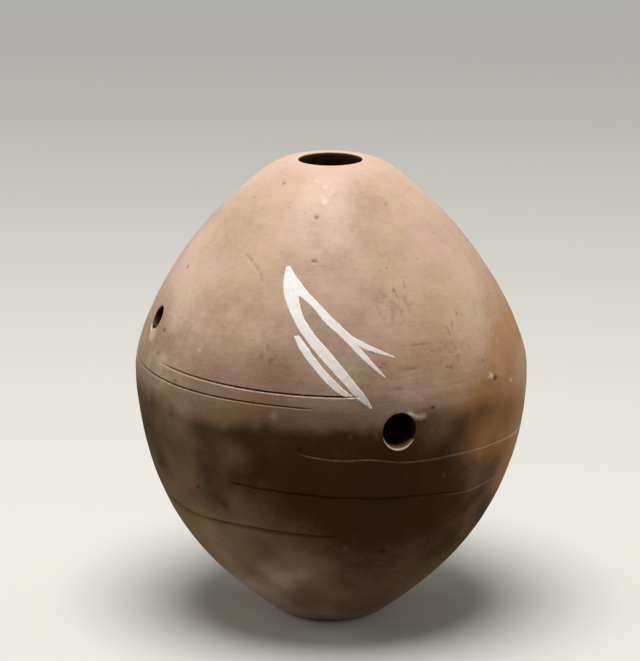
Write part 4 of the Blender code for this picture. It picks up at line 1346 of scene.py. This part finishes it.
def closed_sheet_faces(rows, columns):
    """Faces of a thin closed sheet: an upper grid, its lower twin turned over, and a rim between them."""
    index = np.arange(rows * columns).reshape(rows, columns)
    corners = [index[:-1, :-1], index[1:, :-1], index[1:, 1:], index[:-1, 1:]]
    upper = np.stack(corners, axis=-1).reshape(-1, 4)
    lower = upper[:, ::-1] + rows * columns
    edge = np.concatenate([index[0, :-1], index[:-1, -1], index[-1, :0:-1], index[:0:-1, 0]])
    after = np.roll(edge, -1)
    rim = np.stack([edge, after, after + rows * columns, edge + rows * columns], axis=-1)
    return np.concatenate([upper, lower, rim])


def add_node(tree, kind, settings=None, inputs=None):
    """A node with its settings and inputs. An input is a value, or the socket that feeds it."""
    made = tree.nodes.new(kind)
    made.location = (220.0 * (len(tree.nodes) % 12), -260.0 * (len(tree.nodes) // 12))
    for key, value in (settings or {}).items():
        setattr(made, key, value)
    for key, value in (inputs or {}).items():
        if isinstance(value, bpy.types.NodeSocket):
            tree.links.new(value, made.inputs[key])
        else:
            made.inputs[key].default_value = value
    return made


def maths(tree, operation, *values, clamp=False):
    """Output of a Math node."""
    settings = {"operation": operation, "use_clamp": clamp}
    return add_node(tree, "ShaderNodeMath", settings, dict(enumerate(values))).outputs[0]


def times(tree, first, second, clamp=False):
    """Product of two values."""
    return maths(tree, "MULTIPLY", first, second, clamp=clamp)


def plus(tree, first, second, clamp=False):
    """Sum of two values."""
    return maths(tree, "ADD", first, second, clamp=clamp)


def opaque(colour_value):
    """A colour with full alpha, as a shader socket takes it."""
    return (*colour_value, 1.0)


def soft_range(tree, value, low, high, to_low=0.0, to_high=1.0):
    """A value brought from one range into another by a soft step."""
    made = add_node(
        tree,
        "ShaderNodeMapRange",
        {"interpolation_type": "SMOOTHSTEP"},
        {"Value": value, "From Min": low, "From Max": high, "To Min": to_low, "To Max": to_high},
    )
    return made.outputs["Result"]


def mixed_colour(tree, factor, first, second):
    """Output of a colour Mix node."""
    settings = {"data_type": "RGBA", "blend_type": "MIX"}
    return add_node(tree, "ShaderNodeMix", settings, {0: factor, 6: first, 7: second}).outputs[2]


def noise(tree, scale, detail=3.0, roughness=0.55, squeeze=(1.0, 1.0, 1.0), shift=(0.0, 0.0, 0.0)):
    """Output of a noise texture on object coordinates, squeezed along the axes."""
    coordinates = add_node(tree, "ShaderNodeTexCoord").outputs["Object"]
    placing = {"Vector": coordinates, "Scale": squeeze, "Location": shift}
    mapped = add_node(tree, "ShaderNodeMapping", None, placing)
    made = add_node(
        tree,
        "ShaderNodeTexNoise",
        None,
        {"Vector": mapped.outputs[0], "Scale": scale, "Detail": detail, "Roughness": roughness},
    )
    return made.outputs["Fac"]


def surface_tone(tree, name):
    """One of the tones that the mesh carries."""
    return add_node(tree, "ShaderNodeAttribute", {"attribute_name": name}).outputs["Fac"]


def new_group(name, inputs, outputs):
    """An empty shader node group, the sockets that its inputs arrive at, and those for its results."""
    tree = bpy.data.node_groups.new(name, "ShaderNodeTree")
    for label, kind, default in inputs:
        socket = tree.interface.new_socket(name=label, in_out="INPUT", socket_type=kind)
        socket.default_value = default
    for label, kind in outputs:
        tree.interface.new_socket(name=label, in_out="OUTPUT", socket_type=kind)
    given = tree.nodes.new("NodeGroupInput")
    return tree, given.outputs, tree.nodes.new("NodeGroupOutput").inputs


FLOAT = "NodeSocketFloat"
COLOUR = "NodeSocketColor"
# Colours of the thinner streaks in the slip and of its pinholes
CLOUDED_SLIP = (0.84, 0.77, 0.72)
PINHOLE = (0.45, 0.33, 0.26)


def clay_grain_group():
    """Height and specks of hand-smoothed clay: fine grain, level burnishing streaks and small pores."""
    tree, given, result = new_group(
        "Clay grain",
        [("Grain", FLOAT, 1.0), ("Streaks", FLOAT, 1.0), ("Pores", FLOAT, 1.0)],
        [("Height", FLOAT), ("Pale specks", FLOAT), ("Dark specks", FLOAT)],
    )
    fine = noise(tree, 1500.0, 3.0, 0.6)
    soft = noise(tree, 420.0, 3.0, 0.55)
    streak = noise(tree, 160.0, 4.0, 0.6, (1.0, 1.0, 9.0))
    coordinates = add_node(tree, "ShaderNodeTexCoord").outputs["Object"]
    cells = add_node(tree, "ShaderNodeTexVoronoi", {"feature": "F1"}, {"Vector": coordinates, "Scale": 330.0})
    near_cell = soft_range(tree, cells.outputs["Distance"], 0.07, 0.20, 1.0, 0.0)
    few = soft_range(tree, noise(tree, 170.0, 2.0), 0.52, 0.64)
    pore = times(tree, times(tree, near_cell, few), given["Pores"])
    height = times(tree, plus(tree, times(tree, fine, 0.35), soft), given["Grain"])
    height = plus(tree, height, times(tree, streak, given["Streaks"]))
    height = maths(tree, "SUBTRACT", height, times(tree, pore, 1.6))
    pale = soft_range(tree, noise(tree, 1100.0, 2.0, 0.5, shift=(0.3, 0.1, 0.2)), 0.66, 0.74)
    dark = soft_range(tree, noise(tree, 1300.0, 2.0, 0.5, shift=(0.7, 0.5, 0.4)), 0.66, 0.73)
    tree.links.new(height, result["Height"])
    tree.links.new(pale, result["Pale specks"])
    tree.links.new(maths(tree, "MAXIMUM", dark, pore), result["Dark specks"])
    return tree


def fire_colour_group(colours):
    """Colour of clay in a smoky fire and in painted shade: pale to brown to black, tinted by ember and
    olive by ashes and painted light.
    """
    tree, given, result = new_group(
        "Fire colour",
        [
            ("Smoke and shade", FLOAT, 0.0), ("Ember", FLOAT, 0.0), ("Ash and light", FLOAT, 0.0),
            ("Buff", COLOUR, opaque(colours.buff)), ("Mottling", FLOAT, 1.0),
        ],
        [("Colour", COLOUR), ("Smoked and shaded", FLOAT)],
    )
    broad = maths(tree, "SUBTRACT", noise(tree, 110.0, 4.0, 0.6), 0.5)
    small = maths(tree, "SUBTRACT", noise(tree, 520.0, 4.0, 0.65), 0.5)
    streak = maths(tree, "SUBTRACT", noise(tree, 150.0, 5.0, 0.6, (1.0, 1.0, 6.0), (0.2, 0.4, 0.6)), 0.5)
    wander = times(tree, broad, 0.17)
    wander = plus(tree, wander, times(tree, small, 0.15))
    wander = plus(tree, wander, times(tree, streak, 0.08))
    wander = times(tree, wander, given["Mottling"])
    smoked_and_shaded = plus(tree, given["Smoke and shade"], wander, clamp=True)
    pink = soft_range(tree, noise(tree, 70.0, 3.0, 0.5, shift=(0.5, 0.3, 0.1)), 0.40, 0.62)
    straw = soft_range(tree, noise(tree, 85.0, 3.0, 0.5, shift=(0.1, 0.8, 0.5)), 0.45, 0.68)
    pale = mixed_colour(tree, times(tree, pink, 0.8), given["Buff"], opaque(colours.blush))
    pale = mixed_colour(tree, times(tree, straw, 0.6), pale, opaque(colours.straw))
    half = soft_range(tree, smoked_and_shaded, 0.05, 0.50)
    full = soft_range(tree, smoked_and_shaded, 0.42, 0.95)
    ember_patches = soft_range(tree, noise(tree, 190.0, 3.0), 0.15, 0.52)
    ember = times(tree, given["Ember"], ember_patches)
    ash_and_light_patches = soft_range(tree, noise(tree, 230.0, 3.0, shift=(0.9, 0.2, 0.7)), 0.25, 0.60)
    ash_and_light = times(tree, given["Ash and light"], ash_and_light_patches)
    brown = mixed_colour(tree, ember, opaque(colours.brown), opaque(colours.ember))
    brown = mixed_colour(tree, ash_and_light, brown, opaque(colours.ash_and_light))
    body = mixed_colour(tree, half, pale, brown)
    body = mixed_colour(tree, times(tree, ember, 0.6), body, opaque(colours.glow))
    dark = mixed_colour(tree, times(tree, ember, 0.35), opaque(colours.smoke_and_shade), opaque(colours.ember))
    dark = mixed_colour(tree, times(tree, ash_and_light, 0.35), dark, opaque(colours.ash_and_light))
    body = mixed_colour(tree, full, body, dark)
    tree.links.new(body, result["Colour"])
    tree.links.new(smoked_and_shaded, result["Smoked and shaded"])
    return tree


def wear_group(colours):
    """Exposed clay with painted highlight, and dirt with painted shade, laid over a colour, both
    broken up by fine noise.
    """
    tree, given, result = new_group(
        "Bare and soot",
        [
            ("Colour", COLOUR, (0.5, 0.5, 0.5, 1.0)), ("Smoked and shaded", FLOAT, 0.0),
            ("Bare and highlight", FLOAT, 0.0), ("Dirt and shade", FLOAT, 0.0),
            ("Pale specks", FLOAT, 0.0), ("Dark specks", FLOAT, 0.0), ("Speck strength", FLOAT, 0.3),
        ],
        [("Colour", COLOUR)],
    )
    broken = soft_range(tree, noise(tree, 900.0, 3.0, 0.6), 0.20, 0.62, 0.45, 1.0)
    bare_and_highlight = times(tree, given["Bare and highlight"], broken, clamp=True)
    uneven = soft_range(tree, noise(tree, 600.0, 3.0), 0.15, 0.55, 0.6, 1.0)
    dirt_and_shade = times(tree, given["Dirt and shade"], uneven, clamp=True)
    pale = times(tree, given["Pale specks"], given["Speck strength"])
    dark = times(tree, given["Dark specks"], given["Speck strength"])
    lighter = mixed_colour(tree, 0.20, given["Colour"], opaque(colours.bare_and_highlight))
    darker = mixed_colour(tree, 0.55, given["Colour"], opaque(colours.dirt_and_shade))
    body = mixed_colour(tree, pale, given["Colour"], lighter)
    body = mixed_colour(tree, dark, body, darker)
    smoked_and_shaded = soft_range(tree, given["Smoked and shaded"], 0.30, 0.75)
    bare_and_highlight_colour = mixed_colour(tree, smoked_and_shaded, opaque(colours.bare_and_highlight), opaque(colours.rubbed_and_lit))
    body = mixed_colour(tree, bare_and_highlight, body, bare_and_highlight_colour)
    body = mixed_colour(tree, dirt_and_shade, body, opaque(colours.dirt_and_shade))
    tree.links.new(body, result["Colour"])
    return tree


def shared_groups(colours):
    """The node groups that the materials share, built once."""
    wanted = {
        "Clay grain": clay_grain_group,
        "Fire colour": lambda: fire_colour_group(colours),
        "Bare and soot": lambda: wear_group(colours),
    }
    return {name: bpy.data.node_groups.get(name) or build() for name, build in wanted.items()}


def place_group(tree, group, inputs):
    """A copy of a shared group in a material, with its own values."""
    return add_node(tree, "ShaderNodeGroup", {"node_tree": group}, inputs)


def new_look(name):
    """A new material, its node tree and its shader."""
    material = bpy.data.materials.new(name)
    material.use_nodes = True
    return material, material.node_tree, material.node_tree.nodes["Principled BSDF"]


def fired_clay(name, colours, grain=1.0, streaks=1.0, pores=1.0, mottling=1.0, bump=0.00010):
    """Unglazed clay from a smoky fire: tones from the mesh, grain and pores from the shared groups."""
    found = bpy.data.materials.get(name)
    if found:
        return found
    groups = shared_groups(colours)
    material, tree, shader = new_look(name)
    grained = place_group(tree, groups["Clay grain"], {"Grain": grain, "Streaks": streaks, "Pores": pores})
    fired = place_group(
        tree,
        groups["Fire colour"],
        {
            "Smoke and shade": surface_tone(tree, "smoke_and_shade"),
            "Ember": surface_tone(tree, "ember"),
            "Ash and light": surface_tone(tree, "ash_and_light"),
            "Buff": opaque(colours.buff),
            "Mottling": mottling,
        },
    )
    wear_and_highlight = place_group(
        tree,
        groups["Bare and soot"],
        {
            "Colour": fired.outputs["Colour"],
            "Smoked and shaded": fired.outputs["Smoked and shaded"],
            "Bare and highlight": surface_tone(tree, "bare_and_highlight"),
            "Dirt and shade": surface_tone(tree, "dirt_and_shade"),
            "Pale specks": times(
                tree,
                grained.outputs["Pale specks"],
                soft_range(tree, fired.outputs["Smoked and shaded"], 0.3, 0.7, 1.0, 0.25),
            ),
            "Dark specks": grained.outputs["Dark specks"],
            "Speck strength": 0.35,
        },
    )
    tree.links.new(wear_and_highlight.outputs["Colour"], shader.inputs["Base Color"])
    rough = maths(tree, "MULTIPLY_ADD", noise(tree, 300.0, 3.0), 0.20, colours.roughness - 0.10)
    rough = maths(tree, "MULTIPLY_ADD", fired.outputs["Smoked and shaded"], -0.04, rough)
    tree.links.new(rough, shader.inputs["Roughness"])
    gloss = soft_range(tree, fired.outputs["Smoked and shaded"], 0.20, 0.60, 0.12, 0.02)
    clean = maths(tree, "SUBTRACT", 1.0, surface_tone(tree, "dirt_and_shade"), clamp=True)
    tree.links.new(times(tree, gloss, clean), shader.inputs["Specular IOR Level"])
    rubbed_and_lit = soft_range(tree, fired.outputs["Smoked and shaded"], 0.12, 0.34, colours.burnish, 0.0)
    tree.links.new(times(tree, rubbed_and_lit, clean), shader.inputs["Coat Weight"])
    shader.inputs["Coat Roughness"].default_value = 0.36
    bumps = {"Height": grained.outputs["Height"], "Strength": 0.55, "Distance": bump}
    relief = add_node(tree, "ShaderNodeBump", None, bumps)
    tree.links.new(relief.outputs["Normal"], shader.inputs["Normal"])
    return material


def white_slip(colours):
    """Matt white slip: brushed streaks, tiny pinholes, and clay showing where wear has thinned it."""
    found = bpy.data.materials.get("white_slip_look")
    if found:
        return found
    groups = shared_groups(colours)
    material, tree, shader = new_look("white_slip_look")
    fired = place_group(tree, groups["Fire colour"], {"Smoke and shade": surface_tone(tree, "smoke_and_shade"), "Mottling": 1.0})
    grained = place_group(tree, groups["Clay grain"], {"Grain": 1.0, "Streaks": 0.4, "Pores": 0.6})
    cloudy = soft_range(tree, noise(tree, 700.0, 4.0, 0.65), 0.30, 0.75)
    slip = mixed_colour(tree, times(tree, cloudy, 0.12), opaque(colours.slip), opaque(CLOUDED_SLIP))
    slip = mixed_colour(tree, surface_tone(tree, "ember"), slip, opaque(colours.rosy))
    thin = times(tree, surface_tone(tree, "bare_and_highlight"), 0.85, clamp=True)
    body = mixed_colour(tree, thin, slip, fired.outputs["Colour"])
    dark = times(tree, grained.outputs["Dark specks"], 0.25)
    body = mixed_colour(tree, dark, body, opaque(PINHOLE))
    tree.links.new(body, shader.inputs["Base Color"])
    shader.inputs["Roughness"].default_value = colours.slip_roughness
    bumps = {"Height": grained.outputs["Height"], "Strength": 0.4, "Distance": 0.00006}
    relief = add_node(tree, "ShaderNodeBump", None, bumps)
    tree.links.new(relief.outputs["Normal"], shader.inputs["Normal"])
    return material


def seat(piece, slot, *nodes):
    """Hang a finished piece on the flute's one body, in place of its construction solids."""
    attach(piece, "root")
    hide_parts(*nodes)


class FLUTE_OT_crown(bpy.types.Operator):
    """Build the upper wall with the blow hole and the side finger hole"""

    bl_idname = "flute.crown"
    bl_label = "Crown wall"

    def execute(self, context):
        clay = fired_clay("fired_clay_look", context.scene.flute_colours)
        seat(crown_wall(Vessel(context.scene), clay), "crown_clay", "crown_shell")
        return {"FINISHED"}


class FLUTE_OT_seam(bpy.types.Operator):
    """Build the coil that closes the join of bowl and crown"""

    bl_idname = "flute.seam"
    bl_label = "Seam coil"

    def execute(self, context):
        clay = fired_clay("fired_clay_look", context.scene.flute_colours)
        seat(seam_coil(Vessel(context.scene), clay), "seam_clay", "seam_band")
        return {"FINISHED"}


class FLUTE_OT_bowl(bpy.types.Operator):
    """Build the lower wall with the front finger hole and the incised lines"""

    bl_idname = "flute.bowl"
    bl_label = "Bowl wall"

    def execute(self, context):
        clay = fired_clay("fired_clay_look", context.scene.flute_colours)
        seat(bowl_wall(Vessel(context.scene), clay), "bowl_clay", "bowl_shell")
        return {"FINISHED"}


class FLUTE_OT_foot(bpy.types.Operator):
    """Build the base slab and finish the coil in the corner over it"""

    bl_idname = "flute.foot"
    bl_label = "Foot slab and corner coil"

    def execute(self, context):
        colours = context.scene.flute_colours
        clay = fired_clay("fired_clay_look", colours)
        seat(foot_slab(Vessel(context.scene), clay), "foot_clay", "base_disc")
        coil = frame["nodes"]["corner_coil"]
        coil.data.materials.clear()
        pressed = fired_clay("pressed_clay_look", colours, grain=1.6, streaks=0.3, pores=1.5)
        coil.data.materials.append(pressed)
        return {"FINISHED"}


class FLUTE_OT_slip(bpy.types.Operator):
    """Brush the three strokes of white slip over the clay"""

    bl_idname = "flute.slip"
    bl_label = "Slip strokes"

    def execute(self, context):
        scene = context.scene
        vessel = Vessel(scene)
        material = white_slip(scene.flute_colours)
        for name, stroke in STROKES.items():
            seat(slip_blade(vessel, scene.flute_slip, name, stroke, material), "white_slip", stroke["node"])
        return {"FINISHED"}


# Half the side of the floor, the height that the lamps point at, their width, and the lamps' colours
FLOOR_HALF = 4.0
AIM_HEIGHT = 0.06
LAMP_SIZE = 0.50
KEY_TINT = (1.0, 0.97, 0.93)
SIDE_TINT = (1.0, 0.97, 0.90)


def floor_material(studio):
    """Matt floor: pale where the camera sees it, darker for the light that it throws back."""
    material, tree, shader = new_look("studio_floor_look")
    seen = add_node(tree, "ShaderNodeLightPath").outputs["Is Camera Ray"]
    bounce = opaque([studio.floor_bounce] * 3)
    tree.links.new(mixed_colour(tree, seen, bounce, opaque(studio.floor)), shader.inputs["Base Color"])
    shader.inputs["Roughness"].default_value = 1.0
    shader.inputs["Specular IOR Level"].default_value = 0.0
    place = add_node(tree, "ShaderNodeTexCoord").outputs["Object"]
    far = add_node(tree, "ShaderNodeVectorMath", {"operation": "LENGTH"}, {0: place}).outputs["Value"]
    lifted = soft_range(tree, far, 0.25, 2.2, 0.0, 0.62)
    glow = mixed_colour(tree, times(tree, seen, lifted), opaque((0.0, 0.0, 0.0)), opaque((1.0, 1.0, 0.98)))
    tree.links.new(glow, shader.inputs["Emission Color"])
    shader.inputs["Emission Strength"].default_value = 1.0
    return material


def area_light(name, place, aim, power, tint):
    """A round soft light that points from its place at an aim."""
    data = bpy.data.lights.new(name, "AREA")
    data.shape = "DISK"
    data.size = LAMP_SIZE
    data.energy = power
    data.color = tint
    light = bpy.data.objects.new(name, data)
    bpy.context.scene.collection.objects.link(light)
    light.location = place
    across, along, up = aim - place
    drop = math.atan2(math.hypot(across, along), -up)
    light.rotation_euler = (-drop, 0.0, math.atan2(across, -along))


def room_light(studio):
    """World light of one brightness on the object, and a pale background for the camera and reflections."""
    world = bpy.data.worlds.new("studio_room")
    bpy.context.scene.world = world
    world.use_nodes = True
    tree = world.node_tree
    background = tree.nodes["Background"].inputs
    path = add_node(tree, "ShaderNodeLightPath")
    seen = maths(tree, "MAXIMUM", path.outputs["Is Camera Ray"], path.outputs["Is Transmission Ray"])
    seen = maths(tree, "MAXIMUM", seen, path.outputs["Is Glossy Ray"])
    levels = {0: seen, 2: studio.ambient, 3: studio.background}
    strength = add_node(tree, "ShaderNodeMix", {"data_type": "FLOAT"}, levels)
    background["Color"].default_value = opaque((1.0, 0.985, 0.96))
    tree.links.new(strength.outputs[0], background["Strength"])


class FLUTE_OT_studio(bpy.types.Operator):
    """Set up the pale floor, the soft light and the camera"""

    bl_idname = "flute.studio"
    bl_label = "Studio"

    def execute(self, context):
        studio = context.scene.flute_studio
        mesh = bpy.data.meshes.new("studio_floor")
        corners = [(x * FLOOR_HALF, y * FLOOR_HALF, 0.0) for x, y in ((-1, -1), (1, -1), (1, 1), (-1, 1))]
        mesh.from_pydata(corners, [], [(0, 1, 2, 3)])
        mesh.materials.append(floor_material(studio))
        floor = bpy.data.objects.new("studio_floor", mesh)
        context.scene.collection.objects.link(floor)
        room_light(studio)

        heading = math.radians(studio.camera_angle)
        towards = np.array([math.sin(heading), -math.cos(heading), 0.0])
        rightwards = np.array([math.cos(heading), math.sin(heading), 0.0])
        aim = np.array([0.0, 0.0, AIM_HEIGHT])
        over = aim + 0.08 * towards - 0.03 * rightwards + np.array([0.0, 0.0, 0.68])
        area_light("key_light", over, aim, studio.key_power, KEY_TINT)
        sides = (("left_light", -1, studio.left_power), ("right_light", 1, studio.right_power))
        for name, side, watts in sides:
            place = aim + side * 0.75 * rightwards - 0.25 * towards + np.array([0.0, 0.0, 0.10])
            area_light(name, place, aim, watts, SIDE_TINT)

        lens = bpy.data.cameras.new("camera")
        lens.lens = studio.focal_length
        lens.sensor_width = 36.0
        lens.clip_start = 0.05
        lens.clip_end = 20.0
        camera = bpy.data.objects.new("camera", lens)
        context.scene.collection.objects.link(camera)
        camera.location = (*(studio.camera_distance * towards[:2]), studio.camera_height)
        lift, yaw = math.radians(90.0 - studio.camera_tilt), math.radians(studio.camera_yaw)
        camera.rotation_euler = (lift, 0.0, heading - yaw)
        context.scene.camera = camera
        context.scene.view_settings.view_transform = "Standard"
        return {"FINISHED"}


class FLUTE_PT_panel(bpy.types.Panel):
    """Sizes, colours and building steps of the flute"""

    bl_idname = "FLUTE_PT_panel"
    bl_label = "Clay vessel flute"
    bl_space_type = "VIEW_3D"
    bl_region_type = "UI"
    bl_category = "Flute"

    def draw(self, context):
        for operator in OPERATORS:
            self.layout.operator(operator.bl_idname)
        for attribute, group in SETTINGS.items():
            box = self.layout.box()
            box.label(text=group.__doc__)
            for name in group.__annotations__:
                box.prop(getattr(context.scene, attribute), name)


SETTINGS = {
    "flute_form": VesselForm,
    "flute_seam": SeamSizes,
    "flute_holes": HoleSizes,
    "flute_surface": SurfaceSizes,
    "flute_slip": SlipSizes,
    "flute_colours": ClayColours,
    "flute_studio": StudioSettings,
}
OPERATORS = (
    FLUTE_OT_crown,
    FLUTE_OT_seam,
    FLUTE_OT_bowl,
    FLUTE_OT_foot,
    FLUTE_OT_slip,
    FLUTE_OT_studio,
)


def register():
    """Make the settings, the building steps and the panel known to Blender."""
    for attribute, group in SETTINGS.items():
        bpy.utils.register_class(group)
        setattr(bpy.types.Scene, attribute, bpy.props.PointerProperty(type=group))
    for operator in OPERATORS:
        bpy.utils.register_class(operator)
    bpy.utils.register_class(FLUTE_PT_panel)


def unregister():
    """Take them away again."""
    bpy.utils.unregister_class(FLUTE_PT_panel)
    for operator in reversed(OPERATORS):
        bpy.utils.unregister_class(operator)
    for attribute, group in SETTINGS.items():
        delattr(bpy.types.Scene, attribute)
        bpy.utils.unregister_class(group)


def main():
    """Register, and build every piece and the studio in order."""
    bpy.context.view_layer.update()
    register()
    bpy.ops.flute.crown()
    bpy.ops.flute.seam()
    bpy.ops.flute.bowl()
    bpy.ops.flute.foot()
    bpy.ops.flute.slip()
    bpy.ops.flute.studio()


if __name__ == "__main__":
    main()
